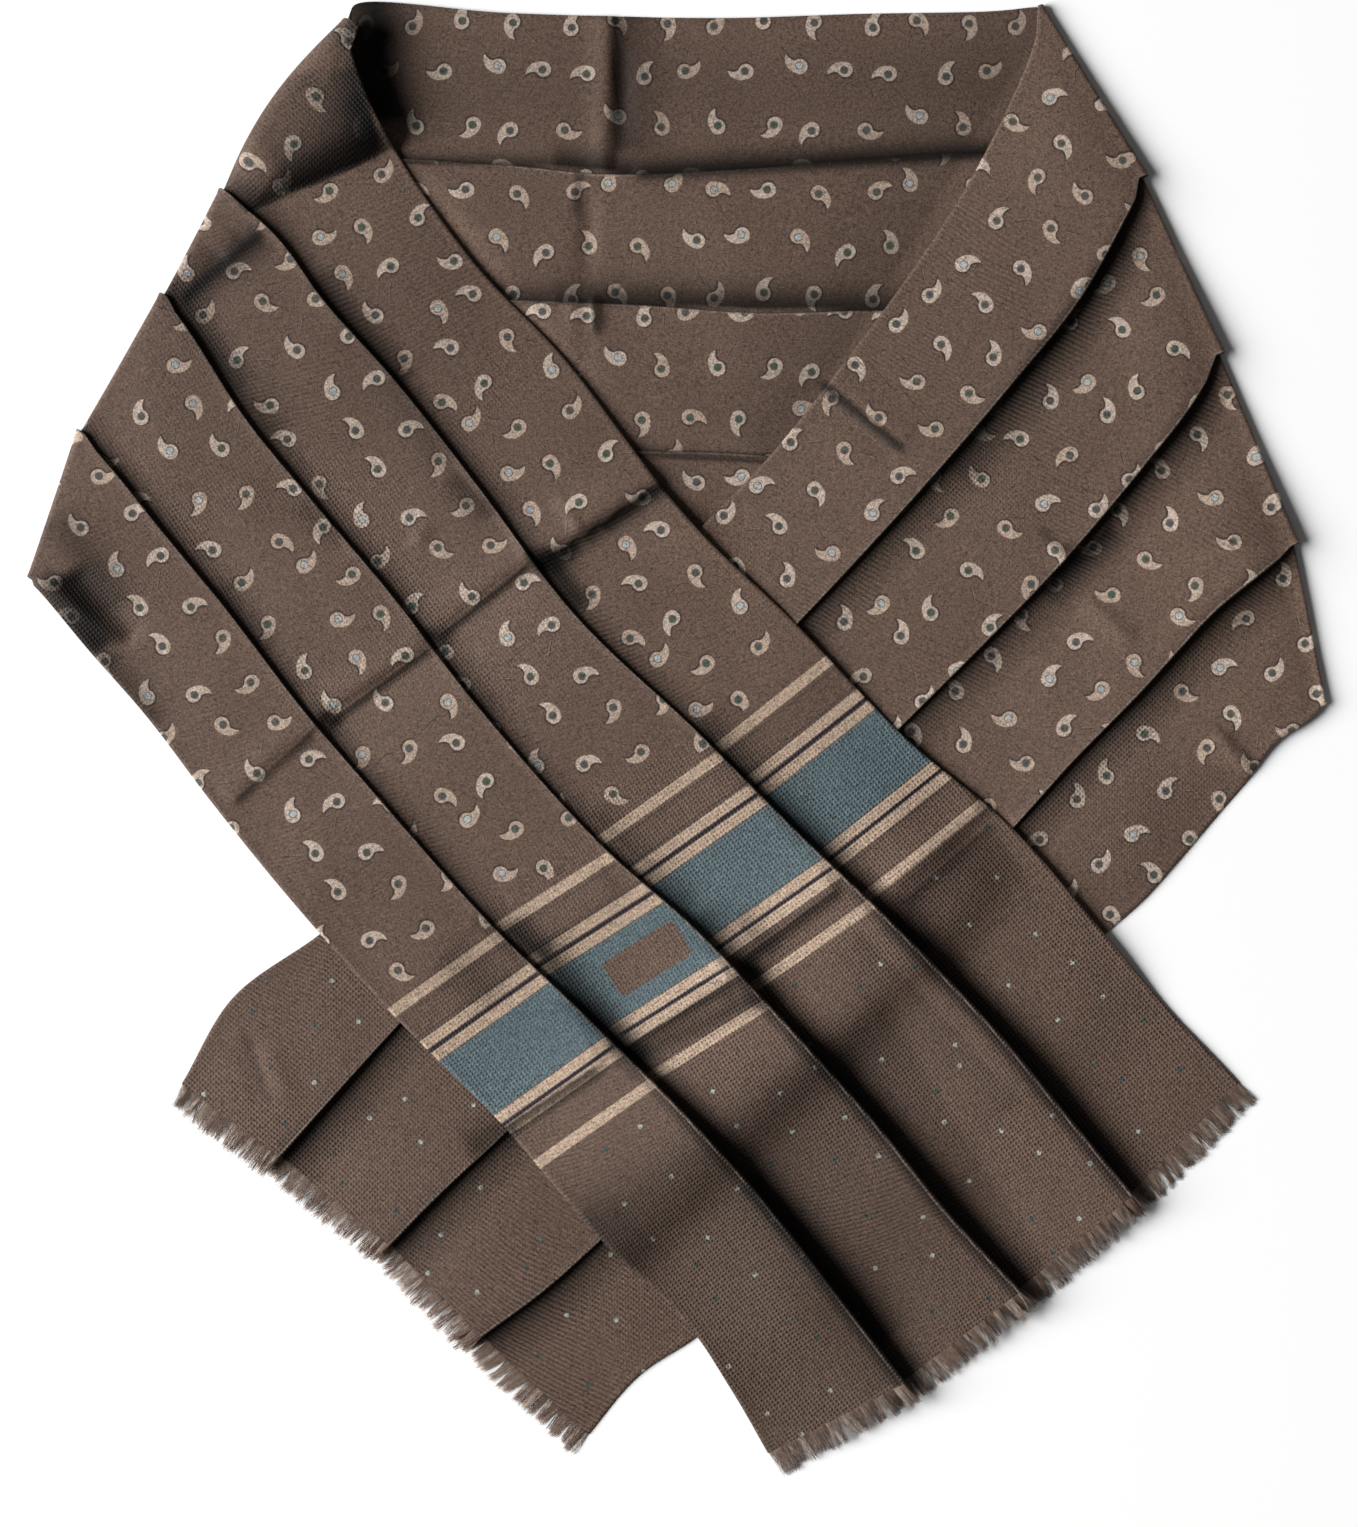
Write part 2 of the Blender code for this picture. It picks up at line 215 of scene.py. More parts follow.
OVER_CREASES = creases(
    (-10, 123, -48, 98, 2.6, 3.5, 16), (-46, 99, -72, 84, 2.2, 3.5, 14),
    (-4, 117, -64, 78, -2.2, 24, 4), (-71, 85, -117, 51, 1.5, 2.8, 10),
    (-68, 80, -113, 47, -0.9, 10, 3), (-118, 46, -172, 10, 1.6, 2.8, 10),
    (-115, 41, -168, 5, -1.0, 10, 3), (-172, 6, -197, -12, 1.5, 2.8, 9),
    (-197, -12, -211, -29, 1.2, 3, 9), (-60, 78, -68, 84, 1.4, 5, 6),
    (-106, 44, -114, 50, 1.4, 5, 6), (-163, 3, -170, 9, 1.4, 5, 6),
    (142, -32, 99, -69, 2.2, 3.5, 9), (147, -40, 104, -78, -1.6, 15, 3.5),
    (-198, 241, -237, 213, -2.6, 6, 9), (-208, 236, -216, 230, 1.5, 6, 6),
    (-300, 76, -262, 46, 1.8, 5, 4), (-284, 76, -256, 46, -2.4, 7, 7),
    (20, -100, 38, -123, 2.2, 4, 7), (-118, 92, -124, 96, 1.2, 5, 7),
    (-200, 120, -206, 100, 0.8, 9, 9), (-30, -70, -60, -92, 0.9, 8, 12),
    (-80, -180, -36, -150, 1.4, 10, 3.5), (-27, -144, 30, -108, 1.5, 9, 3.5),
    (29, -103, 74, -70, 1.5, 10, 3.5),
)
NECK_CREASES = creases(
    (-32, 339, -33, 266, 2.0, 3, 8), (-26, 339, -28, 266, -1.8, 6, 5),
    (-41, 266, -43, 211, -1.4, 4, 5), (-50, 206, -49, 194, 1.2, 3, 3),
    (-39, 207, -38, 192, 1.3, 3, 3), (-44, 190, -45, 166, -0.9, 4, 4),
)
UNDER_CREASES = creases(
    (70, 169, 106, 139, 1.0, 9, 4), (65, 163, 102, 133, -0.8, 3, 6),
    (191, 65, 212, 46, 1.2, 5, 5), (254, 2, 269, -15, 1.2, 5, 5),
    (182, 82, 176, 90, 1.4, 5, 7), (-203, -141, -194, -168, -1.0, 5, 6),
    (-192, -146, -182, -172, 0.6, 5, 7), (-34, -300, -26, -310, -1.0, 4, 4),
)

# Painted shade: places where the cloth is painted darker, for the shade deep in its folds and
# hollows, laid like the creases with a depth in place of the height: 1 is black, and a depth below 0
# is painted light, which brightens edges turned from the light and places in shadow.
OVER_SHADES = creases(
    (-205, 246, -141, 273, 0.88, 9, 0.8), (-184, 256, -138, 276, 0.75, 24, 0.8),
    (-150, 334, -141, 276, 0.85, 1, 11), (-151, 314, -141, 276, 0.7, 1, 26),
    (-196, 237, -234, 206, 0.88, 9, 7), (-288, 77, -270, 42, 0.95, 15, 12),
    (-268, 38, -246, 6, 0.5, 9, 8), (-150, 300, -139, 277, 0.85, 3, 8),
    (0, 100, 52, 30, -0.15, 26, 26), (-31, -139, -14, -150, 0.9, 5, 8),
    (28, -105, 40, -110, 0.9, 3, 5), (100, -86, 116, -100, 0.6, 10, 1),
    (34, -205, 103, -300, 0.28, 2, 17), (98, -84, 210, -208, 0.3, 2, 9),
    (8, 4, 60, -48, 0.4, 3, 4), (-52, -120, -36, -138, 0.45, 2, 6),
    (-106, 124, -88, 105, 0.55, 3, 8), (-176, 112, -158, 93, 0.4, 3, 8),
    (-250, 170, -90, 200, 0.1, 60, 90), (-83, -182, -76, -184, 0.8, 3, 5),
    (-291, 104, -262, 62, 0.5, 10, 10), (-302, 78, -266, 34, 0.5, 5.5, 6),
    (-240, 208, -190, 142, 0.4, 12, 1), (-172, 214, -130, 166, 0.6, 11, 2),
    (-110, 36, -90, 10, 0.35, 10, 1), (-216, 70, -195, 40, 0.35, 10, 1),
    (-2, 123, -62, 84, 0.8, 7, 1.5), (-62, 84, -44, 62, 0.8, 6, 6),
    (-72, 86, -48, 88, 0.8, 3, 6), (-70, 84, -54, 79, 0.85, 3, 5),
    (-119, 50, -108, 46, 0.8, 4, 5), (-170, 11, -158, 8, 0.75, 4, 4),
    (-60, -240, 102, -136, 0.3, 18, 250), (96, -82, 150, -46, 0.4, 4, 26),
    (-44, -124, -26, -142, 0.5, 5, 5), (28, -84, 46, -102, 0.4, 8, 3),
    (-96, -84, -74, -104, 0.4, 8, 3), (56, -136, 100, -184, 0.25, 3, 8),
    (-245, 212, -205, 165, 0.35, 8, 6), (-132, 170, -106, 128, 0.35, 4, 10),
    (-80, -88, -62, -104, 0.75, 11, 2), (-66, -98, -28, -146, 0.78, 12, 2),
    (-110, -100, -84, -122, 0.35, 12, 12), (20, -122, 44, -116, 0.4, 8, 6),
    (8, 6, 75, -62, 0.45, 15, 1), (-40, -36, 5, -80, 0.35, 12, 1),
    (8, -84, 34, -108, 0.5, 14, 1), (30, -210, 95, -285, 0.6, 17, 1),
    (112, -95, 206, -204, 0.35, 9, 1), (-60, -256, -24, -222, 0.45, 14, 26),
    (-24, -222, 100, -124, 0.3, 8, 24), (84, -90, 160, -170, 0.25, 1, 22),
    (-20, -149, 34, -121, 0.55, 3, 5), (33, -122, 46, -126, 0.4, 4, 4),
)
NECK_SHADES = creases(
    (-144, 352, -138, 290, 0.95, 16, 20), (-122, 262, -44, 168, -0.45, 5, 4),
    (-31, 345, -29, 276, 0.7, 17, 1), (172, 340, 45, 130, 0.25, 3, 40),
    (-164, 271, -60, 269, 0.75, 5, 1), (-60, 269, -20, 265, 0.93, 9, 1),
    (-20, 265, 151, 275, 0.95, 8, 3.5), (-183, 207, -60, 206, 0.75, 7, 2),
    (-60, 205, 172, 199, 0.88, 10.5, 1), (-112, 138, 104, 126, 0.7, 4, 1),
    (-200, 306, 170, 306, 0.18, 25, 25),
)
UNDER_SHADES = creases(
    (174, 350, 222, 266, -0.7, 5, 5), (222, 266, 257, 182, -0.7, 5, 5),
    (257, 182, 290, 92, -0.7, 5, 5), (290, 92, 306, 10, -0.7, 5, 5),
    (262, 90, 270, -10, -0.2, 30, 30), (-36, -158, -98, -194, 0.6, 7, 10),
    (171, 69, 203, 100, 0.85, 1, 8), (2, 106, 52, 50, -0.35, 5, 4),
    (127, 126, 207, 236, 0.45, 1, 15), (150, -36, 200, -93, -0.4, 6, 1),
    (190, 110, 250, 85, -0.12, 40, 60),
)

# Sharp creases, drawn by the finish more finely than the shells are cut, with the depth of the
# painted shade in their hollow in place of the height. They count up to so many of their own widths
# away.
SHARP_CREASES = creases(
    (-9, 119.5, -43, 95.5, 0.8, 5, 1.6), (-43, 95.5, -67, 81, 0.7, 5, 1.6),
    (-71, 81, -112, 48, 0.75, 3.2, 1.4), (-117, 42, -166, 6, 0.75, 3.2, 1.4),
    (-171, 4, -209, -30, 0.6, 3.5, 1.4), (-196, 237, -234, 206, 0.7, 3, 2.5),
    (67, 167, 105, 135.5, 0.85, 2.2, 4.4), (168, 98, 186, 83, 0.4, 3, 3),
    (-81, -182, -38, -153, 0.8, 1.2, 5.5), (-27, -146, 29, -110, 0.6, 1.2, 6),
    (29, -104, 74, -70, 0.75, 1.2, 5), (252, 6, 270, -16, 0.4, 3, 3),
    (-205, -139, -193, -170, 0.3, 3, 3), (-47, 266, -49, 246, 0.5, 3, 3),
    (-40, 207, -39, 190, 0.75, 3.5, 2), (147, -40, 106, -76, 0.5, 4, 1.5),
    (14, -96, 33, -122, 0.35, 3, 3),
)
SHARP_REACH = 9.0
SHARP_MARGIN = 5

# The print's own directions. Each strip is flat, so its print is laid out in the plane: from a
# line that crosses the strip, along it and past it towards the fringe. On the over arm the lines
# are those of the first stripe, one for each strip. The neck's lie far to its right, so that its
# print is all paisley.
OVER_PRINT = (
    ((-133.2, -127.6), (-83.0, -91.7)),
    ((-80.0, -86.0), (-49.6, -66.5)),
    ((-22.5, -37.8), (17.9, -9.1)),
    ((23.6, -0.8), (69.0, 35.4)),
)
UNDER_STARTS = ((60, -43), (106, -86), (152, -129), (198, -171))
UNDER_PRINT = [((x, y), (x + 73, y - 68)) for x, y in UNDER_STARTS]
NECK_PRINT = [((2000, y), (2000, y + 100)) for y in (60, 123, 186, 249)]
PRINT_SHIFT = 77.0

# The stripes' places past the first stripe's middle, from and to, and the darker rows among them,
# with how softly they end.
BEIGE_STRIPES = (
    (-2.6, 2.6), (18.7, 23.7), (26.2, 31.3), (67.2, 72.0), (74.0, 79.0), (94.8, 99.9)
)
NAVY_LINES = ((24.3, 25.6), (72.4, 73.7))
TEAL_BAND = (31.8, 66.7)
DARK_ROWS = ((16.4, 33.4, 0.5), (65.2, 81.4, 0.5), (4.0, 5.5, 0.4))
LABEL_STRIP = 1
LABEL_CENTRE = (45.8, 49.6)
LABEL_HALF = (19.6, 9.3)
LABEL_CORNER = 2.6
PAISLEY_END = -6.5
DOTS_START = 106.0
PRINT_SOFT = 0.3

# The comma motif: the radius of its head, the curve of its tail, the angle that the tail turns
# through and the width of its tip, the shift of the dark edge, and the eye with a ring round it.
HEAD = 3.55
CURVE = 5.7
TAIL = 1.75
TIP = 0.1
EDGE_SHIFT = (0.4, -0.5)
EYE_CENTRE = (0.3, 0.5)
EYE = 1.6
EYE_RING = (1.45, 2.0)

# The dots' radius, and where the stitches lie inside the hem's edge and how far apart.
DOT = 1.1
STITCHES = (0.9, 1.8)
STITCH_PITCH = 3.1

# The weave: how its rows lean across the print, how much finer its check is, how far both wander,
# where it stands out towards the cut ends, and a place in the print that the neck's never reaches.
ROW_LEAN = (0.97, 0.25)
CHECK_SIZE = 0.87
WANDER = 30.0
DRIFT = 16.0
END_PLACE = 85.0
NECK_PLACE = -900.0

# The finish's fixed colours.
WORN_GROUND = (0.118, 0.079, 0.06)
DARK_GROUND = (0.055, 0.04, 0.034)
MOTIF_EDGE = (0.03, 0.023, 0.022)
PALE_MOTIF = (0.35, 0.28, 0.23)
RING_COLOR = (0.035, 0.033, 0.033)
EYE_COLORS = ((0.06, 0.062, 0.055), (0.27, 0.29, 0.29), (0.05, 0.068, 0.052))
DOT_COLORS = ((0.27, 0.29, 0.27), (0.03, 0.055, 0.055))
# A painted highlight along each fold's edge.
FOLD_HIGHLIGHT = (0.19, 0.15, 0.125)
STITCH_COLOR = (0.03, 0.023, 0.021)
THREAD_COLORS = ((0.055, 0.036, 0.029), (0.205, 0.14, 0.107), (0.46, 0.39, 0.34))
FLOOR_COLORS = ((0.83, 0.83, 0.83), (0.85, 0.85, 0.85))

# The fringe: how its threads are cut, how far inside the cloth they start, how much shorter they
# are beside a fold and how near to it, and the spread of its bundles and of single threads.
THREAD_RINGS = 6
THREAD_SIDES = 3
ROOTS = (0.2, 1.2)
SHORTER = 2.0
SHORTER_REACH = 10.0
BUNDLE_WIDTH = (0.8, 3.2)
BUNDLE_LEAN = 0.1
BUNDLE_PULL = (0.1, 0.5)
BUNDLE_LENGTH = (0.84, 1.02)
BUNDLE_DROOP = (0.15, 0.5)
BUNDLE_TONE = 0.65
THREAD_LENGTH = (0.82, 1.0)
THREAD_LEAN = 0.06
THREAD_WAVE = 0.35
THREAD_BOW = 0.9
THREAD_RADIUS = (0.09, 0.16)
THREAD_TAPER = 0.45
LOOK_BACK = 8.0

# The stage, in metres and watts: the floor's half width, the sky's strength and the key light.
FLOOR_REACH = 5.0
SKY = 0.09
KEY_PLACE = (-12.15, -0.85, 6.9)
KEY_SIZE = 10.5
KEY_POWER = 5050.0

# The lens's view of the layout: the photograph's frame is this tall and centred here.
VIEW_HEIGHT = 717.7
VIEW_CENTRE = (0.2, -11.75)
LENS = 100.0
SENSOR = 36.0


class ScarfSizes(PropertyGroup):
    """What a maker would change about the cloth."""

    cut_width: FloatProperty(
        name="Cut width", description="Width of the flat cloth", default=0.300, unit="LENGTH"
    )
    motif_cell: FloatProperty(
        name="Motif spacing",
        description="Distance between printed motifs",
        default=0.0236,
        unit="LENGTH",
    )
    dot_cell: FloatProperty(
        name="Dot spacing",
        description="Distance between printed dots",
        default=0.0255,
        unit="LENGTH",
    )
    rib_pitch: FloatProperty(
        name="Rib pitch",
        description="Distance between the twill's ribs",
        default=0.0021,
        unit="LENGTH",
    )
    fringe_length: FloatProperty(
        name="Fringe length", description="Length of the threads", default=0.0145, unit="LENGTH"
    )
    fringe_threads: IntProperty(
        name="Fringe threads", description="Threads along each end", default=3300, min=100
    )


class ScarfColors(PropertyGroup):
    """The print's colours."""

    ground: FloatVectorProperty(
        name="Ground", description="Brown ground", subtype="COLOR", default=(0.096, 0.0625, 0.047)
    )
    motif: FloatVectorProperty(
        name="Motif", description="Beige motif", subtype="COLOR", default=(0.31, 0.235, 0.185)
    )
    stripe: FloatVectorProperty(
        name="Stripe", description="Beige stripe", subtype="COLOR", default=(0.33, 0.243, 0.18)
    )
    band: FloatVectorProperty(
        name="Band", description="Teal band", subtype="COLOR", default=(0.076, 0.104, 0.114)
    )
    navy: FloatVectorProperty(
        name="Navy",
        description="Line between stripes",
        subtype="COLOR",
        default=(0.014, 0.013, 0.02),
    )


# ---- Shape -------------------------------------------------------------------------------------


def row_lines(row):
    return np.array([row.lead_hem, row.fold_1, row.fold_2, row.fold_3, row.last_hem], float)


def distances(points):
    """How far each point is along the line through all of them."""
    steps = np.linalg.norm(np.diff(points, axis=0), axis=1)
    return np.concatenate([[0.0], np.cumsum(steps)])


def outward_normal(lines):
    """Unit vector square to a section's chord, on the side away from the middle of the layout."""
    chord = lines[-1] - lines[0]
    normal = np.array((chord[1], -chord[0])) / np.linalg.norm(chord)
    return normal if normal @ lines.mean(axis=0) > 0 else -normal


def soft_step(value):
    value = np.clip(value, 0.0, 1.0)
    return np.where(value < 0.5, 2 * value**2, 1 - 2 * (1 - value) ** 2)


def hump(value):
    """0 at both ends of a strip's face and 1 near its middle."""
    return np.sin(pi * np.clip(value, 0.0, 1.0) ** SWELL_SKEW) ** SWELL_POWER


class Stretch:
    """A stretch of the scarf: smooth lines through its rows, by distance along its middle."""

    def __init__(self, rows):
        lines = [row_lines(row) for row in rows]
        ends = [(row.crown, row.rise) for row in rows]
        self.values = np.array([[*line.ravel(), *end] for line, end in zip(lines, ends)])
        self.stations = distances(np.array([line.mean(axis=0) for line in lines]))
        self.length = self.stations[-1]
        self.gaps = np.diff(self.stations)[:, None]
        slopes = np.diff(self.values, axis=0) / self.gaps
        before, after = self.gaps[:-1], self.gaps[1:]
        inner = (slopes[:-1] * after + slopes[1:] * before) / (before + after)
        self.slopes = np.vstack([slopes[:1], inner, slopes[-1:]])

    def at(self, distance):
        """(lines, crown, rise) of the section there, straight on past the last row."""
        if distance > self.length:
            found = self.values[-1].copy()
            found[:10] += self.slopes[-1][:10] * (distance - self.length)
        else:
            i = int(np.clip(np.searchsorted(self.stations, distance) - 1, 0, len(self.gaps) - 1))
            gap = self.gaps[i, 0]
            t = (distance - self.stations[i]) / gap
            start = (2 * t**3 - 3 * t**2 + 1) * self.values[i]
            start += (t**3 - 2 * t**2 + t) * gap * self.slopes[i]
            end = (3 * t**2 - 2 * t**3) * self.values[i + 1]
            end += (t**3 - t**2) * gap * self.slopes[i + 1]
            found = start + end
        return found[:10].reshape(5, 2), found[10], found[11]


# The middle of the cloth across a section, point by point: place across, height, which strip's
# print it shows, how far up the strip's open face it is, how far from that strip's fold, and how
# far from the fold of the strip that lies over it.
Midline = namedtuple("Midline", "place height strip share fold covered")


def arc(centre, radius, first, last):
    """Points of an arc, in degrees, without its first one."""
    angles = np.radians(np.linspace(first, last, TURN_CELLS + 1))[1:]
    return [(centre[0] + radius * cos(a), centre[1] + radius * sin(a)) for a in angles]


def fold_midline(cuts, rise):
    """The folded cloth's middle, from the top strip's hem on."""
    low = WALL / 2
    high = low + 2 * LAYER
    turn = LAYER / 2
    open_turn = turn + rise / 8
    rows = []
    for strip, (near, far) in enumerate(zip(cuts, cuts[1:])):
        last = strip == len(cuts) - 2
        begin = near
        if strip > 0:
            tucked = near - UNDERLAP + turn
            begin = near + WALL
            points = arc((tucked, low + turn), turn, 90, 270)
            points += [(x, low) for x in np.linspace(tucked, begin, 4)[1:-1]]
            rows += [(*point, strip, 0.0, FAR_AWAY, 0.0) for point in points]
        crest = far if last else far - open_turn
        coarse = np.linspace(begin, crest - EDGE_WIDTH, FACE_CELLS + 1)
        fine = np.linspace(crest - EDGE_WIDTH, crest, EDGE_CELLS + 1)
        x = np.concatenate([coarse, fine[1:]])
        away = np.full(len(x), FAR_AWAY)
        share = (x - begin) / (crest - begin)
        from_fold = away if last else crest - x
        z = np.full(len(x), low)
        if not last:
            z += (high + rise - low) * share**RISE_POWER
            z += LIP_HEIGHT * np.exp(-((from_fold / LIP_WIDTH) ** 2))
        covered = x - near if strip > 0 else away
        rows += list(zip(x, z, np.full(len(x), strip), share, from_fold, covered))
        if last:
            break
        points = arc((crest, z[-1] - open_turn), open_turn, 90, -90)
        start = np.array(points[-1])
        end = np.array((far - UNDERLAP + turn, low + LAYER))
        points += [tuple(start + (end - start) * t) for t in (0.33, 0.67, 1.0)]
        edge = [0.0, 0.0, *[FAR_AWAY] * (len(points) - 2)]
        rows += [(*point, strip, 1.0, near_fold, 0.0) for point, near_fold in zip(points, edge)]
    return Midline(*np.array(rows).T)


def cloth_sides(line, hems):
    """The upper and lower side of the cloth as (across, height), thicker along the two hems."""
    middle = np.column_stack([line.place, line.height])
    along = np.diff(middle, axis=0)
    along /= np.linalg.norm(along, axis=1)[:, None]
    before = np.vstack([along[:1], along])
    after = np.vstack([along, along[-1:]])
    bisector = before + after
    bisector /= np.linalg.norm(bisector, axis=1)[:, None]
    half_turn = np.sum(bisector * after, axis=1)
    inside = np.minimum(line.place - hems[0], hems[1] - line.place)
    half = np.where(inside < HEM_WIDTH, HALF_HEM, HALF_CLOTH)
    offset = np.stack([-bisector[:, 1], bisector[:, 0]], axis=1) * (half / half_turn)[:, None]
    return middle + offset, middle - offset


class Section:
    """The folded cloth across a stretch: its hems and folds, its middle and its two sides."""

    def __init__(self, stretch, distance):
        self.lines, self.crown, self.rise = stretch.at(distance)
        self.cuts = distances(self.lines)
        self.line = fold_midline(self.cuts, self.rise)
        self.sides = cloth_sides(self.line, (self.cuts[0], self.cuts[-1]))
        self.middle = self.plan(self.line.place)

    def plan(self, x):
        """Places in the layout of distances across, straight on beyond the hems."""
        strip = np.clip(np.searchsorted(self.cuts, x) - 1, 0, len(self.cuts) - 2)
        share = (x - self.cuts[strip]) / (self.cuts[strip + 1] - self.cuts[strip])
        return self.lines[strip] + (self.lines[strip + 1] - self.lines[strip]) * share[:, None]


def crease_height(laid, place):
    """How far the creases lift the cloth at each place."""
    total = np.zeros(len(place))
    for line, height, left, right in laid:
        along, beside = line.along(place), line.beside(place)
        margin = min(CREASE_MARGIN, line.length / 2)
        starts = soft_step((along + margin / 2) / margin)
        ends = starts * soft_step((line.length + margin / 2 - along) / margin)
        total += height * np.exp(-((beside / np.where(beside > 0, right, left)) ** 2)) * ends
    return total


def nearest_crease(laid, place):
    """How far each place is from its nearest crease's line, in its widths, and how dark its painted
    shade is.
    """
    nearest = np.full(len(place), SHARP_REACH)
    depth = np.zeros(len(place))
    for line, dark, left, right in laid:
        along, beside = line.along(place), line.beside(place)
        ends = np.clip(np.minimum(along, line.length - along) / SHARP_MARGIN + 0.5, -1, 1)
        beside = beside / np.where(beside > 0, right, left)
        found = (np.abs(beside) < np.abs(nearest)) & (ends > -1)
        nearest = np.where(found, beside, nearest)
        depth = np.where(found, dark * np.maximum(ends, 0), depth)
    return nearest, depth


def shade_left(shades, place):
    """How much of the light the painted shades leave at each place."""
    left = np.ones(len(place))
    for shade in shades:
        left *= 1 - crease_height([shade], place)
    return left


def slack(place):
    """Gentle unevenness of cloth laid by hand, the same in every layer."""
    x, y = place[:, 0], place[:, 1]
    a, b, c, d = WAVES
    waves = np.sin(x / a + 1.3 * np.sin(y / b)) * np.sin(y / c + 1.1 * np.sin(x / d) + 0.7)
    a, b, c = RIPPLES
    ripples = np.sin((x + y) / a + 1.7 * np.sin(x / b)) * np.sin((x - y) / c + 0.4)
    return SLACK * ((1 + waves) + 0.3 * (1 + ripples))


def roll_height(place):
    crease = Line(*ROLL_CREASE)
    along, above = crease.along(place), -crease.beside(place)
    low, high = ROLL_HEIGHTS
    height = low + (high - low) * np.clip(along / crease.length, 0, 1.15)
    bulge = 1 - (1 - np.clip(above / ROLL_SLOPE, 0.0, 1.0)) ** ROLL_ROUND
    return height * bulge * soft_step((along + ROLL_FADE[0]) / ROLL_FADE[1])


def neck_rows():
    """The neck's rows, with an end row inside each fold-over, on the line where the arm turns."""
    ends = []
    for lines in (row_lines(OVER_ARM[0]), row_lines(UNDER_ARM[0])[::-1]):
        lines = lines - outward_normal(lines) * NECK_INSET
        ends.append(Row(*(tuple(point) for point in lines), 0, 0))
    return (ends[0], *NECK_MIDDLE, ends[1])


def slope_off(away, slope):
    """1 up to where a cover ends, then falling to 0 over its slope."""
    return soft_step(1 - (away - SLOPE_START) / slope)


def neck_cover(slope):
    """A function of places: 1 on the neck, falling to 0 over the slope below its lower hem."""
    hem = np.array([row.lead_hem for row in neck_rows()])

    def cover(place):
        return slope_off(np.interp(place[:, 0], hem[:, 0], hem[:, 1]) - place[:, 1], slope)

    return cover


def under_arm_cover(slope):
    """A function of places: 1 where the arms cross, falling to 0 beside the under arm."""
    first, last = (row_lines(UNDER_ARM[i]) for i in CROSSED_ROWS)
    along = (last - first).mean(axis=0)
    side = np.array((along[1], -along[0])) / np.linalg.norm(along)
    middle = (first[0] + last[-1]) / 2
    half_width = abs((first[-1] - first[0]) @ side + (last[-1] - last[0]) @ side) / 4

    def cover(place):
        return slope_off(np.abs((place - middle) @ side) - half_width, slope)

    return cover


OVER_HEM = np.array([row.last_hem for row in OVER_ARM], float)
UNDER_HEM = np.array([row.lead_hem for row in UNDER_ARM], float)


def from_hem(hem, place):
    """Distance of each place from a hem."""
    nearest = np.full(len(place), np.inf)
    for start, end in zip(hem, hem[1:]):
        way = end - start
        t = np.clip((place - start) @ way / (way @ way), 0, 1)
        nearest = np.minimum(nearest, np.linalg.norm(place - start - t[:, None] * way, axis=1))
    return nearest


def pleat_ridge(place):
    """The over arm's ridge above the under arm's last pleat: a long rise and a short fall."""
    pleat = Line(*(UNDER_ARM[i].fold_3 for i in CROSSED_ROWS))
    past = -pleat.beside(place) - RIDGE_START
    shape = np.where(past < 0, soft_step(1 + past / RIDGE_RISE), soft_step(1 - past / RIDGE_FALL))
    return RIDGE * shape * soft_step(from_hem(OVER_HEM, place) / RIDGE_RISE * 2)


def open_neck(place):
    """1 in the neck's open middle and 0 under the arms."""
    x, y = place[:, 0], place[:, 1]
    left, right = (np.interp(-y, -hem[:, 1], hem[:, 0]) for hem in (OVER_HEM, UNDER_HEM))
    away = np.minimum(from_hem(OVER_HEM, place), from_hem(UNDER_HEM, place))
    return np.where((x > left) & (x < right), soft_step((away - 1) / 14), 0.0)


def everywhere(place):
    return np.ones(len(place))


# What sets one stretch's cloth apart: its tables, which way the weave's rows lean, how squarely its
# fold-over curls (less is squarer) and how far the loose roll bows out.
Cloth = namedtuple(
    "Cloth",
    "rows creases shades print_lines tuck slant turn_power bulge",
    defaults=(1.0, 0.55, 0.0),
)
NECK_CLOTH = Cloth(neck_rows(), NECK_CREASES, NECK_SHADES, NECK_PRINT, NECK_FOLD_SHADE)
UNDER_CLOTH = Cloth(UNDER_ARM, UNDER_CREASES, UNDER_SHADES, UNDER_PRINT, UNDER_FOLD_SHADE, slant=-1.0)
OVER_CLOTH = Cloth(
    OVER_ARM, OVER_CREASES, OVER_SHADES, OVER_PRINT, OVER_FOLD_SHADE, turn_power=0.8, bulge=ROLL_BULGE
)


def new_mesh(name, points, faces, maps):
    """A smooth mesh from places in the layout, with a UV layer for each pair of values by point."""
    data = bpy.data.meshes.new(name)
    data.from_pydata(((points - np.array([*LAYOUT_CENTRE, 0.0])) * MM).tolist(), [], faces)
    corners = np.empty(len(data.loops), np.int32)
    data.loops.foreach_get("vertex_index", corners)
    for layer, values in maps.items():
        found = values[corners].astype(np.float32).ravel()
        data.uv_layers.new(name=layer).uv.foreach_set("vector", found)
    data.shade_smooth()
    return data


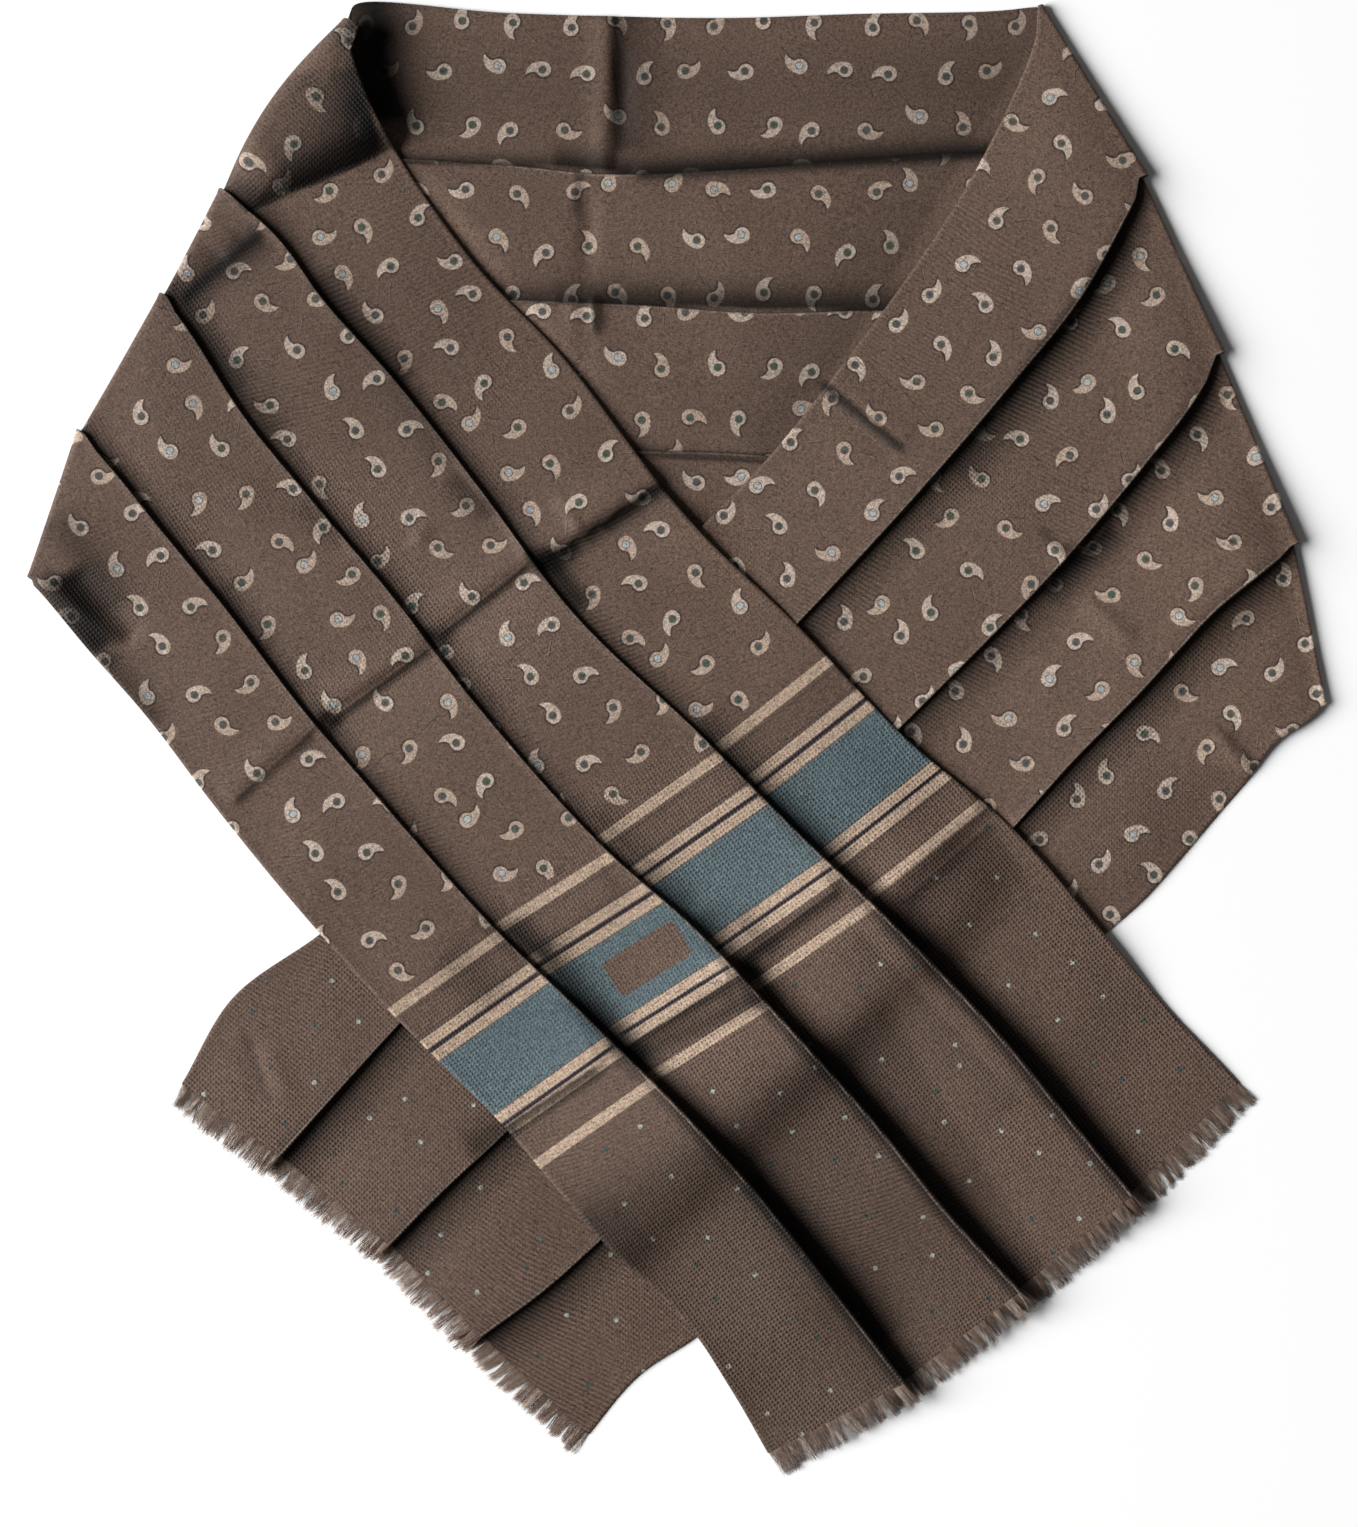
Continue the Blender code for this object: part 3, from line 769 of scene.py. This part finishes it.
class Shell:
    """A fine, closed shell of cloth for one stretch, built ring by ring with its print's places.

    base gives the height that the cloth lies at, and shown is 1 where it lies open to view.
    """

    def __init__(self, cloth, base, shown):
        self.cloth = cloth
        self.base = base
        self.shown = shown
        self.stretch = Stretch(cloth.rows)
        self.print_lines = [Line(*ends) for ends in cloth.print_lines]
        self.rings = []
        self.maps = {name: [] for name in ("print", "edges", "shades", "sharp", "rolled")}

    def height(self, place, section):
        """How far the cloth at each place of a section is lifted."""
        swell = hump(section.line.share)
        shown = self.shown(place)
        crease = crease_height(self.cloth.creases, place) * shown
        crease = np.where(crease < 0, crease * swell, crease)
        crown = CROWN * section.crown * swell * shown
        return self.base(place) + slack(place) + crown + crease - SETTLE

    def add_flat(self, distance):
        section = Section(self.stretch, distance)
        sides = []
        for side in section.sides:
            place = section.plan(side[:, 0])
            sides.append(np.column_stack([place, side[:, 1] + self.height(place, section)]))
        self.add_ring(sides, section, section.middle)

    def stick_out(self, x, cuts):
        """How far the loose roll bows out past the line that the cloth turns on."""
        share = np.clip((x - cuts[-2]) / (cuts[-1] - cuts[-2]), 0, 1)
        return self.cloth.bulge * np.sin(pi * share)

    def add_turn(self):
        """The fold-over, from the floor up its outer side and over onto the top."""
        section = Section(self.stretch, 0.0)
        outward, middle = outward_normal(section.lines), section.middle
        for degrees in (*FOOT_ANGLES, *CURL_ANGLES):
            rise, reach = sin(radians(degrees)), cos(radians(degrees))
            if degrees > 0:
                rise, reach = rise**self.cloth.turn_power, reach**self.cloth.turn_power
            bulge = 0.4 + 0.6 * reach
            sides = []
            for side in section.sides:
                place = section.plan(side[:, 0])
                radius = (self.base(place) + slack(place)) / 2
                outer = radius + side[:, 1]
                out = outer * reach - radius - TURN_RELIEF
                out += bulge * self.stick_out(side[:, 0], section.cuts)
                up = radius + (outer if degrees > 0 else radius) * rise - SETTLE * max(rise, 0)
                sides.append(np.column_stack([place + outward * out[:, None], up]))
            radius = (self.base(middle) + slack(middle)) / 2
            unrolled = radius * radians(90 - degrees) - radius - TURN_RELIEF
            self.add_ring(sides, section, middle + outward * unrolled[:, None])

    def add_ring(self, sides, section, middle):
        """One ring round the cloth: a rounded hem, its upper side, the other hem, its lower one."""
        upper, lower = sides
        hems = []
        for end, inner in ((0, 1), (-1, -2)):
            out = upper[end] - upper[inner]
            hems.append((upper[end] + lower[end]) / 2 + out / np.linalg.norm(out) * HALF_HEM)
        self.rings.append(np.vstack([hems[0], upper, hems[1], lower[::-1]]))

        line, cuts, tuck = section.line, section.cuts, self.cloth.tuck
        count = len(middle)
        u, v = np.zeros(count), np.zeros(count)
        for index, print_line in enumerate(self.print_lines):
            here = line.strip == index
            u = np.where(here, print_line.along(middle) + index * PRINT_SHIFT, u)
            v = np.where(here, print_line.beside(middle), v)
        hem = np.minimum(line.place - cuts[0], cuts[-1] - line.place)
        least = max(tuck.light - tuck.darker * section.rise, 0.0)
        reach = tuck.reach + tuck.wider * section.rise
        # Painted shade beside the fold of the strip that lies over this one.
        tucked = least + (1 - least) * np.clip(line.covered / reach, 0, 1)
        # The painted light kept at each place: the painted shades times the painted fold shade.
        light = shade_left(self.cloth.shades, middle) * tucked
        # How much painted shade the rolled-over side of this section's folds gets.
        roll = np.clip((section.rise - ROLL_FROM) / ROLL_OVER, 0, 1) * ROLL_DARK
        values = {
            "print": (u, v),
            "edges": (line.fold, hem),
            "shades": (line.covered, light),
            "sharp": nearest_crease(SHARP_CREASES, middle),
            "rolled": (np.full(count, roll), np.full(count, self.cloth.slant)),
        }
        around = np.concatenate([[0], np.arange(count), [count - 1], np.arange(count)[::-1]])
        for name, pair in values.items():
            self.maps[name].append(np.column_stack(pair)[around])

    def mesh(self, name):
        size, count = len(self.rings[0]), len(self.rings)
        i, j = np.meshgrid(np.arange(count - 1), np.arange(size), indexing="ij")
        k = (j + 1) % size
        corners = [i * size + j, i * size + k, (i + 1) * size + k, (i + 1) * size + j]
        faces = np.stack(corners, axis=-1).reshape(-1, 4).tolist()
        half = size // 2
        for start, flip in ((0, 1), ((count - 1) * size, -1)):
            cap = [(start, start + size - 1, start + 1)]
            for m in range(1, half - 1):
                cap.append((start + m, start + size - m, start + size - m - 1, start + m + 1))
            cap.append((start + half - 1, start + half + 1, start + half))
            faces += [face[::flip] for face in cap]
        maps = {layer: np.concatenate(values) * MM for layer, values in self.maps.items()}
        data = new_mesh(name, np.concatenate(self.rings), faces, maps)
        data.set_sharp_from_angle(angle=radians(SHARPEST_TURN))
        return data


def fringe_mesh(name, shell, length, threads, seed):
    """Loose threads along a cut end: uneven bundles that start inside the cloth and droop."""
    rng = Random(seed)
    end = shell.stretch.length
    section, behind = (Section(shell.stretch, place) for place in (end, end - LOOK_BACK))
    line, place = section.line, section.middle
    run = distances(np.column_stack([line.place, line.height]))
    before = behind.plan(np.interp(line.place, section.cuts, behind.cuts))
    height = line.height + shell.height(place, section)
    shorter = SHORTER * np.clip(1 - line.covered / SHORTER_REACH, 0, 1)

    def at(spot, values):
        return np.array([np.interp(spot, run, column) for column in values.T])

    points, faces, tones = [], [], []
    shares = [ring / (THREAD_RINGS - 1) for ring in range(THREAD_RINGS)]
    step = run[-1] / threads
    bundle_end = 0.0
    for i in range(threads):
        spot = (i + rng.random()) * step
        if spot > bundle_end:
            bundle_start, bundle_end = spot, spot + rng.uniform(*BUNDLE_WIDTH)
            lean, pull = rng.gauss(0, BUNDLE_LEAN), rng.uniform(*BUNDLE_PULL)
            tone = rng.random()
            bundle_length, droop = rng.uniform(*BUNDLE_LENGTH), rng.uniform(*BUNDLE_DROOP)
        root, back = at(spot, place), at(spot, before)
        level = np.interp(spot, run, height)
        way = (root - back) / np.linalg.norm(root - back)
        side = np.array((-way[1], way[0]))
        toward = (bundle_start + bundle_end) / 2 - spot
        reach = length * bundle_length * rng.uniform(*THREAD_LENGTH)
        reach -= np.interp(spot, run, shorter)
        bend = toward * pull + reach * (lean + rng.gauss(0, THREAD_LEAN))
        wave, phase = rng.uniform(0, THREAD_WAVE), rng.uniform(0, 2 * pi)
        radius, hidden = rng.uniform(*THREAD_RADIUS), rng.uniform(*ROOTS)
        start = len(points)
        for t in shares:
            out = -hidden + (reach + hidden) * t
            shift = bend * t**1.5 + wave * sin(phase + 5 * t) * t
            up = level - level * droop * t**2 + rng.uniform(0, THREAD_BOW) * t * (1 - t)
            centre = np.array([*(root + way * out + side * shift), up])
            thick = radius * (1 - THREAD_TAPER * t)
            for corner in range(THREAD_SIDES):
                angle = 2 * pi * corner / THREAD_SIDES + phase
                points.append(centre + np.array([*(side * cos(angle)), sin(angle)]) * thick)
        shade = (BUNDLE_TONE * tone + (1 - BUNDLE_TONE) * rng.random()) % 1.0
        tones += [(shade, t) for t in shares for _ in range(THREAD_SIDES)]
        for ring in range(THREAD_RINGS - 1):
            first = start + ring * THREAD_SIDES
            for corner in range(THREAD_SIDES):
                a, b = first + corner, first + (corner + 1) % THREAD_SIDES
                faces.append((a, b, b + THREAD_SIDES, a + THREAD_SIDES))
        tip = start + (THREAD_RINGS - 1) * THREAD_SIDES
        faces += [(start + 2, start + 1, start), (tip, tip + 1, tip + 2)]
    return new_mesh(name, np.array(points), faces, {"print": np.array(tones)})


# ---- Finish ------------------------------------------------------------------------------------


def math_form(operation, reflected=False):
    """A method of Signal that adds a Math node; the reflected form has the signal come last."""

    def form(self, *others):
        values = (*others, self) if reflected else (self, *others)
        return self.graph.add("ShaderNodeMath", {"operation": operation}, dict(enumerate(values)))

    return form


class Signal:
    """A shader socket in arithmetic: an expression on signals adds its Math nodes."""

    def __init__(self, graph, socket):
        self.graph = graph
        self.socket = socket

    __add__, __radd__ = math_form("ADD"), math_form("ADD", True)
    __sub__, __rsub__ = math_form("SUBTRACT"), math_form("SUBTRACT", True)
    __mul__, __rmul__ = math_form("MULTIPLY"), math_form("MULTIPLY", True)
    __truediv__, __rtruediv__ = math_form("DIVIDE"), math_form("DIVIDE", True)
    __mod__, __rmod__ = math_form("FLOORED_MODULO"), math_form("FLOORED_MODULO", True)
    __pow__, __rpow__ = math_form("POWER"), math_form("POWER", True)
    floor = math_form("FLOOR")
    abs = math_form("ABSOLUTE")
    sin = math_form("SINE")
    cos = math_form("COSINE")
    angle = math_form("ARCTAN2")
    root = math_form("SQRT")
    least = math_form("MINIMUM")
    most = math_form("MAXIMUM")

    def over(self, edge, soft):
        """0 below the edge and 1 above it, with a soft change."""
        inputs = {"Value": self, "From Min": edge - soft, "From Max": edge + soft}
        return self.graph.add("ShaderNodeMapRange", {"interpolation_type": "SMOOTHSTEP"}, inputs)

    def under(self, edge, soft):
        return 1.0 - self.over(edge, soft)

    def between(self, low, high, soft):
        return self.over(low, soft) * self.under(high, soft)


def away_from(x, y):
    """How far a point is from the origin of its own frame."""
    return (x * x + y * y).root()


def any_of(masks):
    """1 where any of the masks is."""
    found, *others = masks
    for mask in others:
        found = found.most(mask)
    return found


class Graph:
    """A material and its node tree."""

    # The Mix node's colour sockets, which share their names with those of its other types.
    MIX_LOW, MIX_HIGH, MIX_RESULT = 6, 7, 2

    def __init__(self, name):
        self.material = bpy.data.materials.new(name)
        self.material.use_nodes = True
        self.tree = self.material.node_tree
        self.tree.nodes.clear()

    def add(self, kind, settings=None, inputs=None, outputs=(0,)):
        """Adds a node: its settings first, then its sockets' values or links. Gives its outputs."""
        node = self.tree.nodes.new(kind)
        for key, value in (settings or {}).items():
            setattr(node, key, value)
        for key, value in (inputs or {}).items():
            if isinstance(value, Signal):
                self.tree.links.new(value.socket, node.inputs[key])
            else:
                node.inputs[key].default_value = value
        found = [Signal(self, node.outputs[key]) for key in outputs]
        return found[0] if len(found) == 1 else found

    def here(self):
        """The place on the piece, in metres."""
        return self.add("ShaderNodeTexCoord", outputs=("Object",))

    def layer(self, name):
        """The two values of a UV layer."""
        place = self.add("ShaderNodeUVMap", {"uv_map": name})
        return self.add("ShaderNodeSeparateXYZ", inputs={0: place}, outputs=("X", "Y"))

    def measures(self, name):
        """The two values of a UV layer that holds millimetres in metres."""
        return [value * 1000.0 for value in self.layer(name)]

    def mix(self, low, high, factor):
        """A colour between two, each a signal or (red, green, blue)."""
        inputs = {0: factor}
        for key, value in ((self.MIX_LOW, low), (self.MIX_HIGH, high)):
            inputs[key] = value if isinstance(value, Signal) else (*value, 1.0)
        return self.add("ShaderNodeMix", {"data_type": "RGBA"}, inputs, (self.MIX_RESULT,))

    def tint(self, color, factor):
        """A colour made lighter or darker by a number."""
        return self.add("ShaderNodeVectorMath", {"operation": "SCALE"}, {0: color, 3: factor})

    def chance(self, x, y):
        """Four fixed random numbers for a cell."""
        cell = self.add("ShaderNodeCombineXYZ", inputs={0: x, 1: y})
        kind, color = self.add(
            "ShaderNodeTexWhiteNoise", {"noise_dimensions": "2D"}, {0: cell}, ("Value", "Color")
        )
        parts = self.add("ShaderNodeSeparateColor", inputs={0: color}, outputs=(0, 1, 2))
        return *parts, kind

    def noise(self, vector, scale, detail=2.0):
        inputs = {"Vector": vector, "Scale": scale, "Detail": detail}
        return self.add("ShaderNodeTexNoise", inputs=inputs)

    def bump(self, height, strength, depth):
        inputs = {"Strength": strength, "Distance": depth, "Height": height}
        return self.add("ShaderNodeBump", inputs=inputs)

    def cloth(self, color, roughness, normal, specular, sheen):
        inputs = {
            "Base Color": color,
            "Roughness": roughness,
            "Normal": normal,
            "Specular IOR Level": specular,
            "Sheen Weight": sheen,
            "Sheen Roughness": 0.5,
        }
        shader = self.add("ShaderNodeBsdfPrincipled", inputs=inputs)
        self.add("ShaderNodeOutputMaterial", inputs={"Surface": shader}, outputs=())
        return self.material


def cell_places(graph, u, v, cell, repeat, seed, spread, turns):
    """A printed repeat: each point's place in its own motif's frame, and its random numbers."""
    column = (u / cell).floor()
    shifted = v + (column % 2.0) * (cell / 2)
    row = (shifted / cell).floor()
    r, g, b, kind = graph.chance((column % repeat) + seed, (row % repeat) + seed * 0.37)
    x = u - (column + 0.5) * cell - (r - 0.5) * spread
    y = shifted - (row + 0.5) * cell - (g - 0.5) * spread
    angle = (b * turns).floor() * (2 * pi / turns) + 0.4
    c, s = angle.cos(), angle.sin()
    return x * c + y * s, y * c - x * s, kind, b


def comma(x, y):
    """How far outside the comma a point is. Its head is round the origin and its tail curls up."""
    rise = CURVE - y
    angle = x.angle(rise)
    share = (angle / TAIL).most(0.0).least(1.0)
    width = (1.0 - share) ** 0.8 * (HEAD + TIP) - TIP
    band = (away_from(x, rise) - CURVE).abs() - width
    tail = band.most(x * -1.0).most((angle - TAIL) * 6.0)
    return (away_from(x, y) - HEAD).least(tail)


def weave(graph, u, v, covered, light, slant, here, pitch):
    """(shade, ribs): the light and dark of the weave, with its rows wandering as twill's do.

    In places its rows break into a fine check. The ribs' light and dark is painted shade of their
    relief. It stands out near the folds, in the painted shade and towards the cut ends, and is too
    fine to see on the neck, whose print starts far away.
    """
    wander = (graph.noise(here, 8.0, 2.0) - 0.5) * WANDER
    drift = (graph.noise(here, 6.0, 1.0) - 0.5) * DRIFT
    wave, check_wave = 2 * pi / pitch, 2 * pi / (pitch * CHECK_SIZE)
    rows = ((v * ROW_LEAN[0] - u * slant * ROW_LEAN[1] + wander) * wave).sin()
    level = ((v + wander * 0.3) * check_wave).sin()
    columns = ((u + drift * 0.5) * check_wave).sin()
    at_end = v.over(END_PLACE, 30.0)
    checked = graph.noise(here, 7.5, 1.0) + v.over(-10.0, 60.0) * 0.2 - at_end * 0.1
    checked = checked.over(0.52, 0.14)
    patches = graph.noise(here, 13.0, 2.0).over(0.5, 0.12)
    shaded = 1.0 - light
    shown = patches * 0.4 + covered.under(14.0, 12.0) * 0.4 + v.over(0.0, 90.0) * 0.5 + shaded * 0.8
    shown = shown.least(1.0) * v.over(NECK_PLACE, 50.0)
    gaps = (1.0 - level) * (1.0 - columns) * 0.25
    ribs = ((0.25 - gaps) * 1.3 * checked + rows * (1.0 - checked) * 0.42) * shown
    grain = (graph.noise(here, 620.0, 2.0) - 0.5) + (graph.noise(here, 1400.0, 1.0) - 0.5) * 1.8
    return ribs * (at_end * 0.2 + 0.4 + shaded * 0.3) + grain * 1.1, ribs


def label_place(u, v):
    """1 on the bare place of the label, a rectangle with rounded corners."""
    from_middle = (u - (LABEL_CENTRE[0] + LABEL_STRIP * PRINT_SHIFT), v - LABEL_CENTRE[1])
    past = [(m.abs() - (half - LABEL_CORNER)).most(0.0) for m, half in zip(from_middle, LABEL_HALF)]
    return away_from(*past).under(LABEL_CORNER, PRINT_SOFT)


def paisley(graph, u, v, cell, color):
    """The paisley repeat's coats: a dark edge below each motif, its body, a ring and an eye."""
    repeat = {"repeat": 6.0, "seed": 3.0, "spread": 8.5, "turns": 9.0}
    x, y, kind, tone = cell_places(graph, u, v, cell, **repeat)
    y = y * (1.0 - ((kind * 53.0) % 2.0).floor() * 2.0)
    printed = v.under(PAISLEY_END, PRINT_SOFT)
    body = comma(x, y).under(0.0, 0.25) * printed
    edge = comma(x + EDGE_SHIFT[0], y + EDGE_SHIFT[1]).under(0.35, 0.4) * printed
    reach = away_from(x - EYE_CENTRE[0], y - EYE_CENTRE[1])
    eye_color = graph.mix(*EYE_COLORS[:2], kind.over(0.68, 0.02))
    eye_color = graph.mix(eye_color, EYE_COLORS[2], kind.between(0.2, 0.4, 0.01))
    return (
        (MOTIF_EDGE, edge * 0.8),
        (graph.mix(color, PALE_MOTIF, tone.over(0.5, 0.02)), body),
        (RING_COLOR, reach.between(*EYE_RING, 0.2) * body * 0.75),
        (eye_color, reach.under(EYE, 0.2) * body),
    )


def dots(graph, u, v, cell):
    """The coat of dots beyond the last stripe."""
    repeat = {"repeat": 8.0, "seed": 11.0, "spread": 17.0, "turns": 1.0}
    x, y, kind, _ = cell_places(graph, u, v, cell, **repeat)
    dot = away_from(x, y).under(DOT, 0.25) * v.over(DOTS_START, PRINT_SOFT)
    return graph.mix(*DOT_COLORS, kind.over(0.68, 0.01)), dot


def silk_material(name, sizes, colors):
    """The printed silk: coats of colour over the ground, in order, then the painted light and shade
    of its folds.
    """
    graph = Graph(name)
    here = graph.here()
    u, v = graph.measures("print")
    fold, hem = graph.measures("edges")
    covered, light = graph.measures("shades")
    sharp, depth = graph.measures("sharp")
    roll, slant = graph.measures("rolled")
    # Painted shade in the sharp creases' hollows; it also dips the bump.
    hollow_shade_and_dip = sharp.abs().under(0.75, 0.75) * depth
    # Painted shade on the rolled-over side before the edge of each fold that opens far.
    rolled = roll * fold.under(3.6, 3.2) * fold.over(0.55, 0.25)
    shade, ribs = weave(graph, u, v, covered, light, slant, here, sizes.rib_pitch / MM)

    cloud = graph.noise(here, 8.0, 3.0)
    fuzz = graph.noise(here, 420.0, 2.0)
    stripes = any_of(v.between(*stripe, PRINT_SOFT) for stripe in BEIGE_STRIPES)
    stitch = ((v + u) * (2 * pi / STITCH_PITCH)).sin().over(0.1, 0.3)
    coats = (
        (WORN_GROUND, cloud.over(0.55, 0.2) * 0.5),
        (DARK_GROUND, any_of(v.between(*rows) for rows in DARK_ROWS) * 0.45),
        (colors.band, v.between(*TEAL_BAND, PRINT_SOFT) * (1.0 - label_place(u, v))),
        (colors.navy, any_of(v.between(*line, PRINT_SOFT) for line in NAVY_LINES)),
        (colors.stripe, stripes),
        *paisley(graph, u, v, sizes.motif_cell / MM, colors.motif),
        dots(graph, u, v, sizes.dot_cell / MM),
        # Painted highlight along the folds' edges, broken up by a fine noise.
        (FOLD_HIGHLIGHT, fold.under(0.4, 0.3) * (fuzz.over(0.45, 0.2) * 0.5 + 0.25)),
        (STITCH_COLOR, hem.between(*STITCHES, 0.25) * stitch * 0.4),
    )
    color = colors.ground
    for paint, amount in coats:
        color = graph.mix(color, paint, amount)
    # Painted light and shade over the print: the weave's ribs, the shades and fold shade, the crease
    # hollows and the rolled folds.
    color = graph.tint(color, (shade + 1.0) * light * (1.0 - hollow_shade_and_dip) * (1.0 - rolled))
    height = ribs * (1.0 - stripes * 0.5) - hollow_shade_and_dip * 2.0
    bump = graph.bump(height, strength=0.6, depth=0.0005)
    return graph.cloth(color, 0.6 + (cloud - 0.5) * 0.14, bump, specular=0.13, sheen=0.02)


def thread_material(name):
    """Fringe threads: the ground's brown, some pale as painted highlights, paler towards the tips as
    painted shade darkens the roots.
    """
    graph = Graph(name)
    shade, along = graph.layer("print")
    twist = graph.noise(graph.here(), 700.0, 1.0)
    dark, light, pale = THREAD_COLORS
    color = graph.mix(dark, light, shade.over(0.3, 0.4))
    # Painted highlights: some threads pale from near the root on.
    color = graph.mix(color, pale, shade.over(0.79, 0.03) * (along * 2.2).least(0.85))
    # Painted shade darkens the roots, which catch more light than the cloth; the noise is the
    # threads' twist.
    color = graph.tint(color, (0.88 + along * 0.24) * (0.75 + twist * 0.5))
    bump = graph.bump(twist, strength=0.3, depth=0.0001)
    return graph.cloth(color, 0.6 + (twist - 0.5) * 0.1, bump, specular=0.13, sheen=0.02)


def floor_material(name):
    graph = Graph(name)
    color = graph.mix(*FLOOR_COLORS, graph.noise(graph.here(), 2.0, 2.0))
    return graph.cloth(color, 0.9, (0.0, 0.0, 0.0), specular=0.1, sheen=0.0)


def material_of(name, make, *values):
    return bpy.data.materials.get(name) or make(name, *values)


# ---- Operators ---------------------------------------------------------------------------------


def add_object(data, material):
    obj = bpy.data.objects.new(data.name, data)
    bpy.context.scene.collection.objects.link(obj)
    data.materials.append(material)
    return obj


def add_piece(data, material, node):
    """Adds a piece that stands for a node, with the given finish, hides that node's imported part
    and hangs the piece on the body.
    """
    piece = add_object(data, material)
    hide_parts(node)
    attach(piece, BODY)
    return piece


def add_cloth(scene, name, shell, node):
    silk = material_of("printed_silk", silk_material, scene.scarf_sizes, scene.scarf_colors)
    return add_piece(shell.mesh(name), silk, node)


def add_arm(scene, side, shell, seed):
    """An arm's cloth, folded over at its first row, with threads along its cut end."""
    sizes = scene.scarf_sizes
    shell.add_turn()
    roll_end = shell.stretch.stations[2]
    end = shell.stretch.length + PAST_END
    fine = np.arange(FIRST_STATION, roll_end, ROLL_STEP)
    for distance in (*fine, *np.linspace(roll_end, end, round((end - roll_end) / ARM_STEP))):
        shell.add_flat(distance)
    cloth = add_cloth(scene, f"{side}_cloth", shell, f"{side}_arm")
    length = sizes.fringe_length / MM
    fringe = fringe_mesh(f"{side}_threads", shell, length, sizes.fringe_threads, seed)
    threads = material_of("fringe_threads", thread_material)
    fringe = add_piece(fringe, threads, f"{side}_fringe")


class SCARF_OT_neck(Operator):
    """Add the neck stretch, which lies under both arms"""

    bl_idname = "scarf.neck"
    bl_label = "Neck Stretch"

    def execute(self, context):
        shell = Shell(NECK_CLOTH, lambda place: 0.0, open_neck)
        length = shell.stretch.length
        for distance in np.linspace(0, length, round(length / NECK_STEP)):
            shell.add_flat(distance)
        cloth = add_cloth(context.scene, "neck_cloth", shell, "neck_stretch")
        return {"FINISHED"}


class SCARF_OT_under_arm(Operator):
    """Add the arm that lies underneath, folded over at the right, with its fringe"""

    bl_idname = "scarf.under_arm"
    bl_label = "Under Arm"

    def execute(self, context):
        on_neck = neck_cover(UNDER_SLOPE)

        def base(place):
            return NECK_LIFT * on_neck(place)

        shell = Shell(UNDER_CLOTH, base, everywhere)
        add_arm(context.scene, "under", shell, 5)
        return {"FINISHED"}


class SCARF_OT_over_arm(Operator):
    """Add the arm that lies on top, folded over in a loose roll at the left, with its fringe"""

    bl_idname = "scarf.over_arm"
    bl_label = "Over Arm"

    def execute(self, context):
        on_neck, on_arm = neck_cover(OVER_SLOPE), under_arm_cover(OVER_SLOPE)

        def base(place):
            lift = NECK_LIFT * on_neck(place) + CROSSING_LIFT * on_arm(place)
            return lift + roll_height(place) + pleat_ridge(place)

        shell = Shell(OVER_CLOTH, base, everywhere)
        add_arm(context.scene, "over", shell, 9)
        return {"FINISHED"}


class SCARF_OT_stage(Operator):
    """Add the pale floor, the studio light and the camera straight above"""

    bl_idname = "scarf.stage"
    bl_label = "Stage"

    def execute(self, context):
        scene = context.scene
        signs = ((-1, -1), (1, -1), (1, 1), (-1, 1))
        corners = [(x * FLOOR_REACH, y * FLOOR_REACH, 0.0) for x, y in signs]
        data = bpy.data.meshes.new("floor")
        data.from_pydata(corners, [], [(0, 1, 2, 3)])
        add_object(data, floor_material("pale_floor"))

        scene.world = bpy.data.worlds.new("studio")
        scene.world.use_nodes = True
        sky = scene.world.node_tree.nodes["Background"].inputs
        sky["Color"].default_value = (1.0, 1.0, 1.0, 1.0)
        sky["Strength"].default_value = SKY
        light = bpy.data.lights.new("key", "AREA")
        light.shape = "DISK"
        light.size = KEY_SIZE
        light.energy = KEY_POWER
        lamp = bpy.data.objects.new("key", light)
        lamp.location = KEY_PLACE
        lamp.rotation_mode = "QUATERNION"
        lamp.rotation_quaternion = (-Vector(KEY_PLACE)).to_track_quat("-Z", "Y")
        scene.collection.objects.link(lamp)

        lens = bpy.data.cameras.new("camera")
        lens.lens = LENS
        lens.sensor_width = SENSOR
        camera = bpy.data.objects.new("camera", lens)
        across_view, up_view = (VIEW_CENTRE[i] - LAYOUT_CENTRE[i] for i in (0, 1))
        camera.location = (across_view * MM, up_view * MM, VIEW_HEIGHT * LENS / SENSOR * MM)
        scene.collection.objects.link(camera)
        scene.camera = camera
        scene.view_settings.view_transform = "Standard"
        return {"FINISHED"}


class SCARF_PT_panel(Panel):
    """The scarf's sizes, colours and pieces"""

    bl_label = "Scarf"
    bl_space_type = "VIEW_3D"
    bl_region_type = "UI"
    bl_category = "Scarf"

    def draw(self, context):
        for group in (context.scene.scarf_sizes, context.scene.scarf_colors):
            for name in group.__annotations__:
                self.layout.prop(group, name)
        for operator in OPERATORS:
            self.layout.operator(operator.bl_idname)


OPERATORS = (SCARF_OT_neck, SCARF_OT_under_arm, SCARF_OT_over_arm, SCARF_OT_stage)
CLASSES = (ScarfSizes, ScarfColors, *OPERATORS, SCARF_PT_panel)


def register():
    for item in CLASSES:
        bpy.utils.register_class(item)
    bpy.types.Scene.scarf_sizes = PointerProperty(type=ScarfSizes)
    bpy.types.Scene.scarf_colors = PointerProperty(type=ScarfColors)


def unregister():
    del bpy.types.Scene.scarf_colors
    del bpy.types.Scene.scarf_sizes
    for item in reversed(CLASSES):
        bpy.utils.unregister_class(item)


def main():
    register()
    bpy.ops.scarf.neck()
    bpy.ops.scarf.under_arm()
    bpy.ops.scarf.over_arm()
    bpy.ops.scarf.stage()


if __name__ == "__main__":
    main()
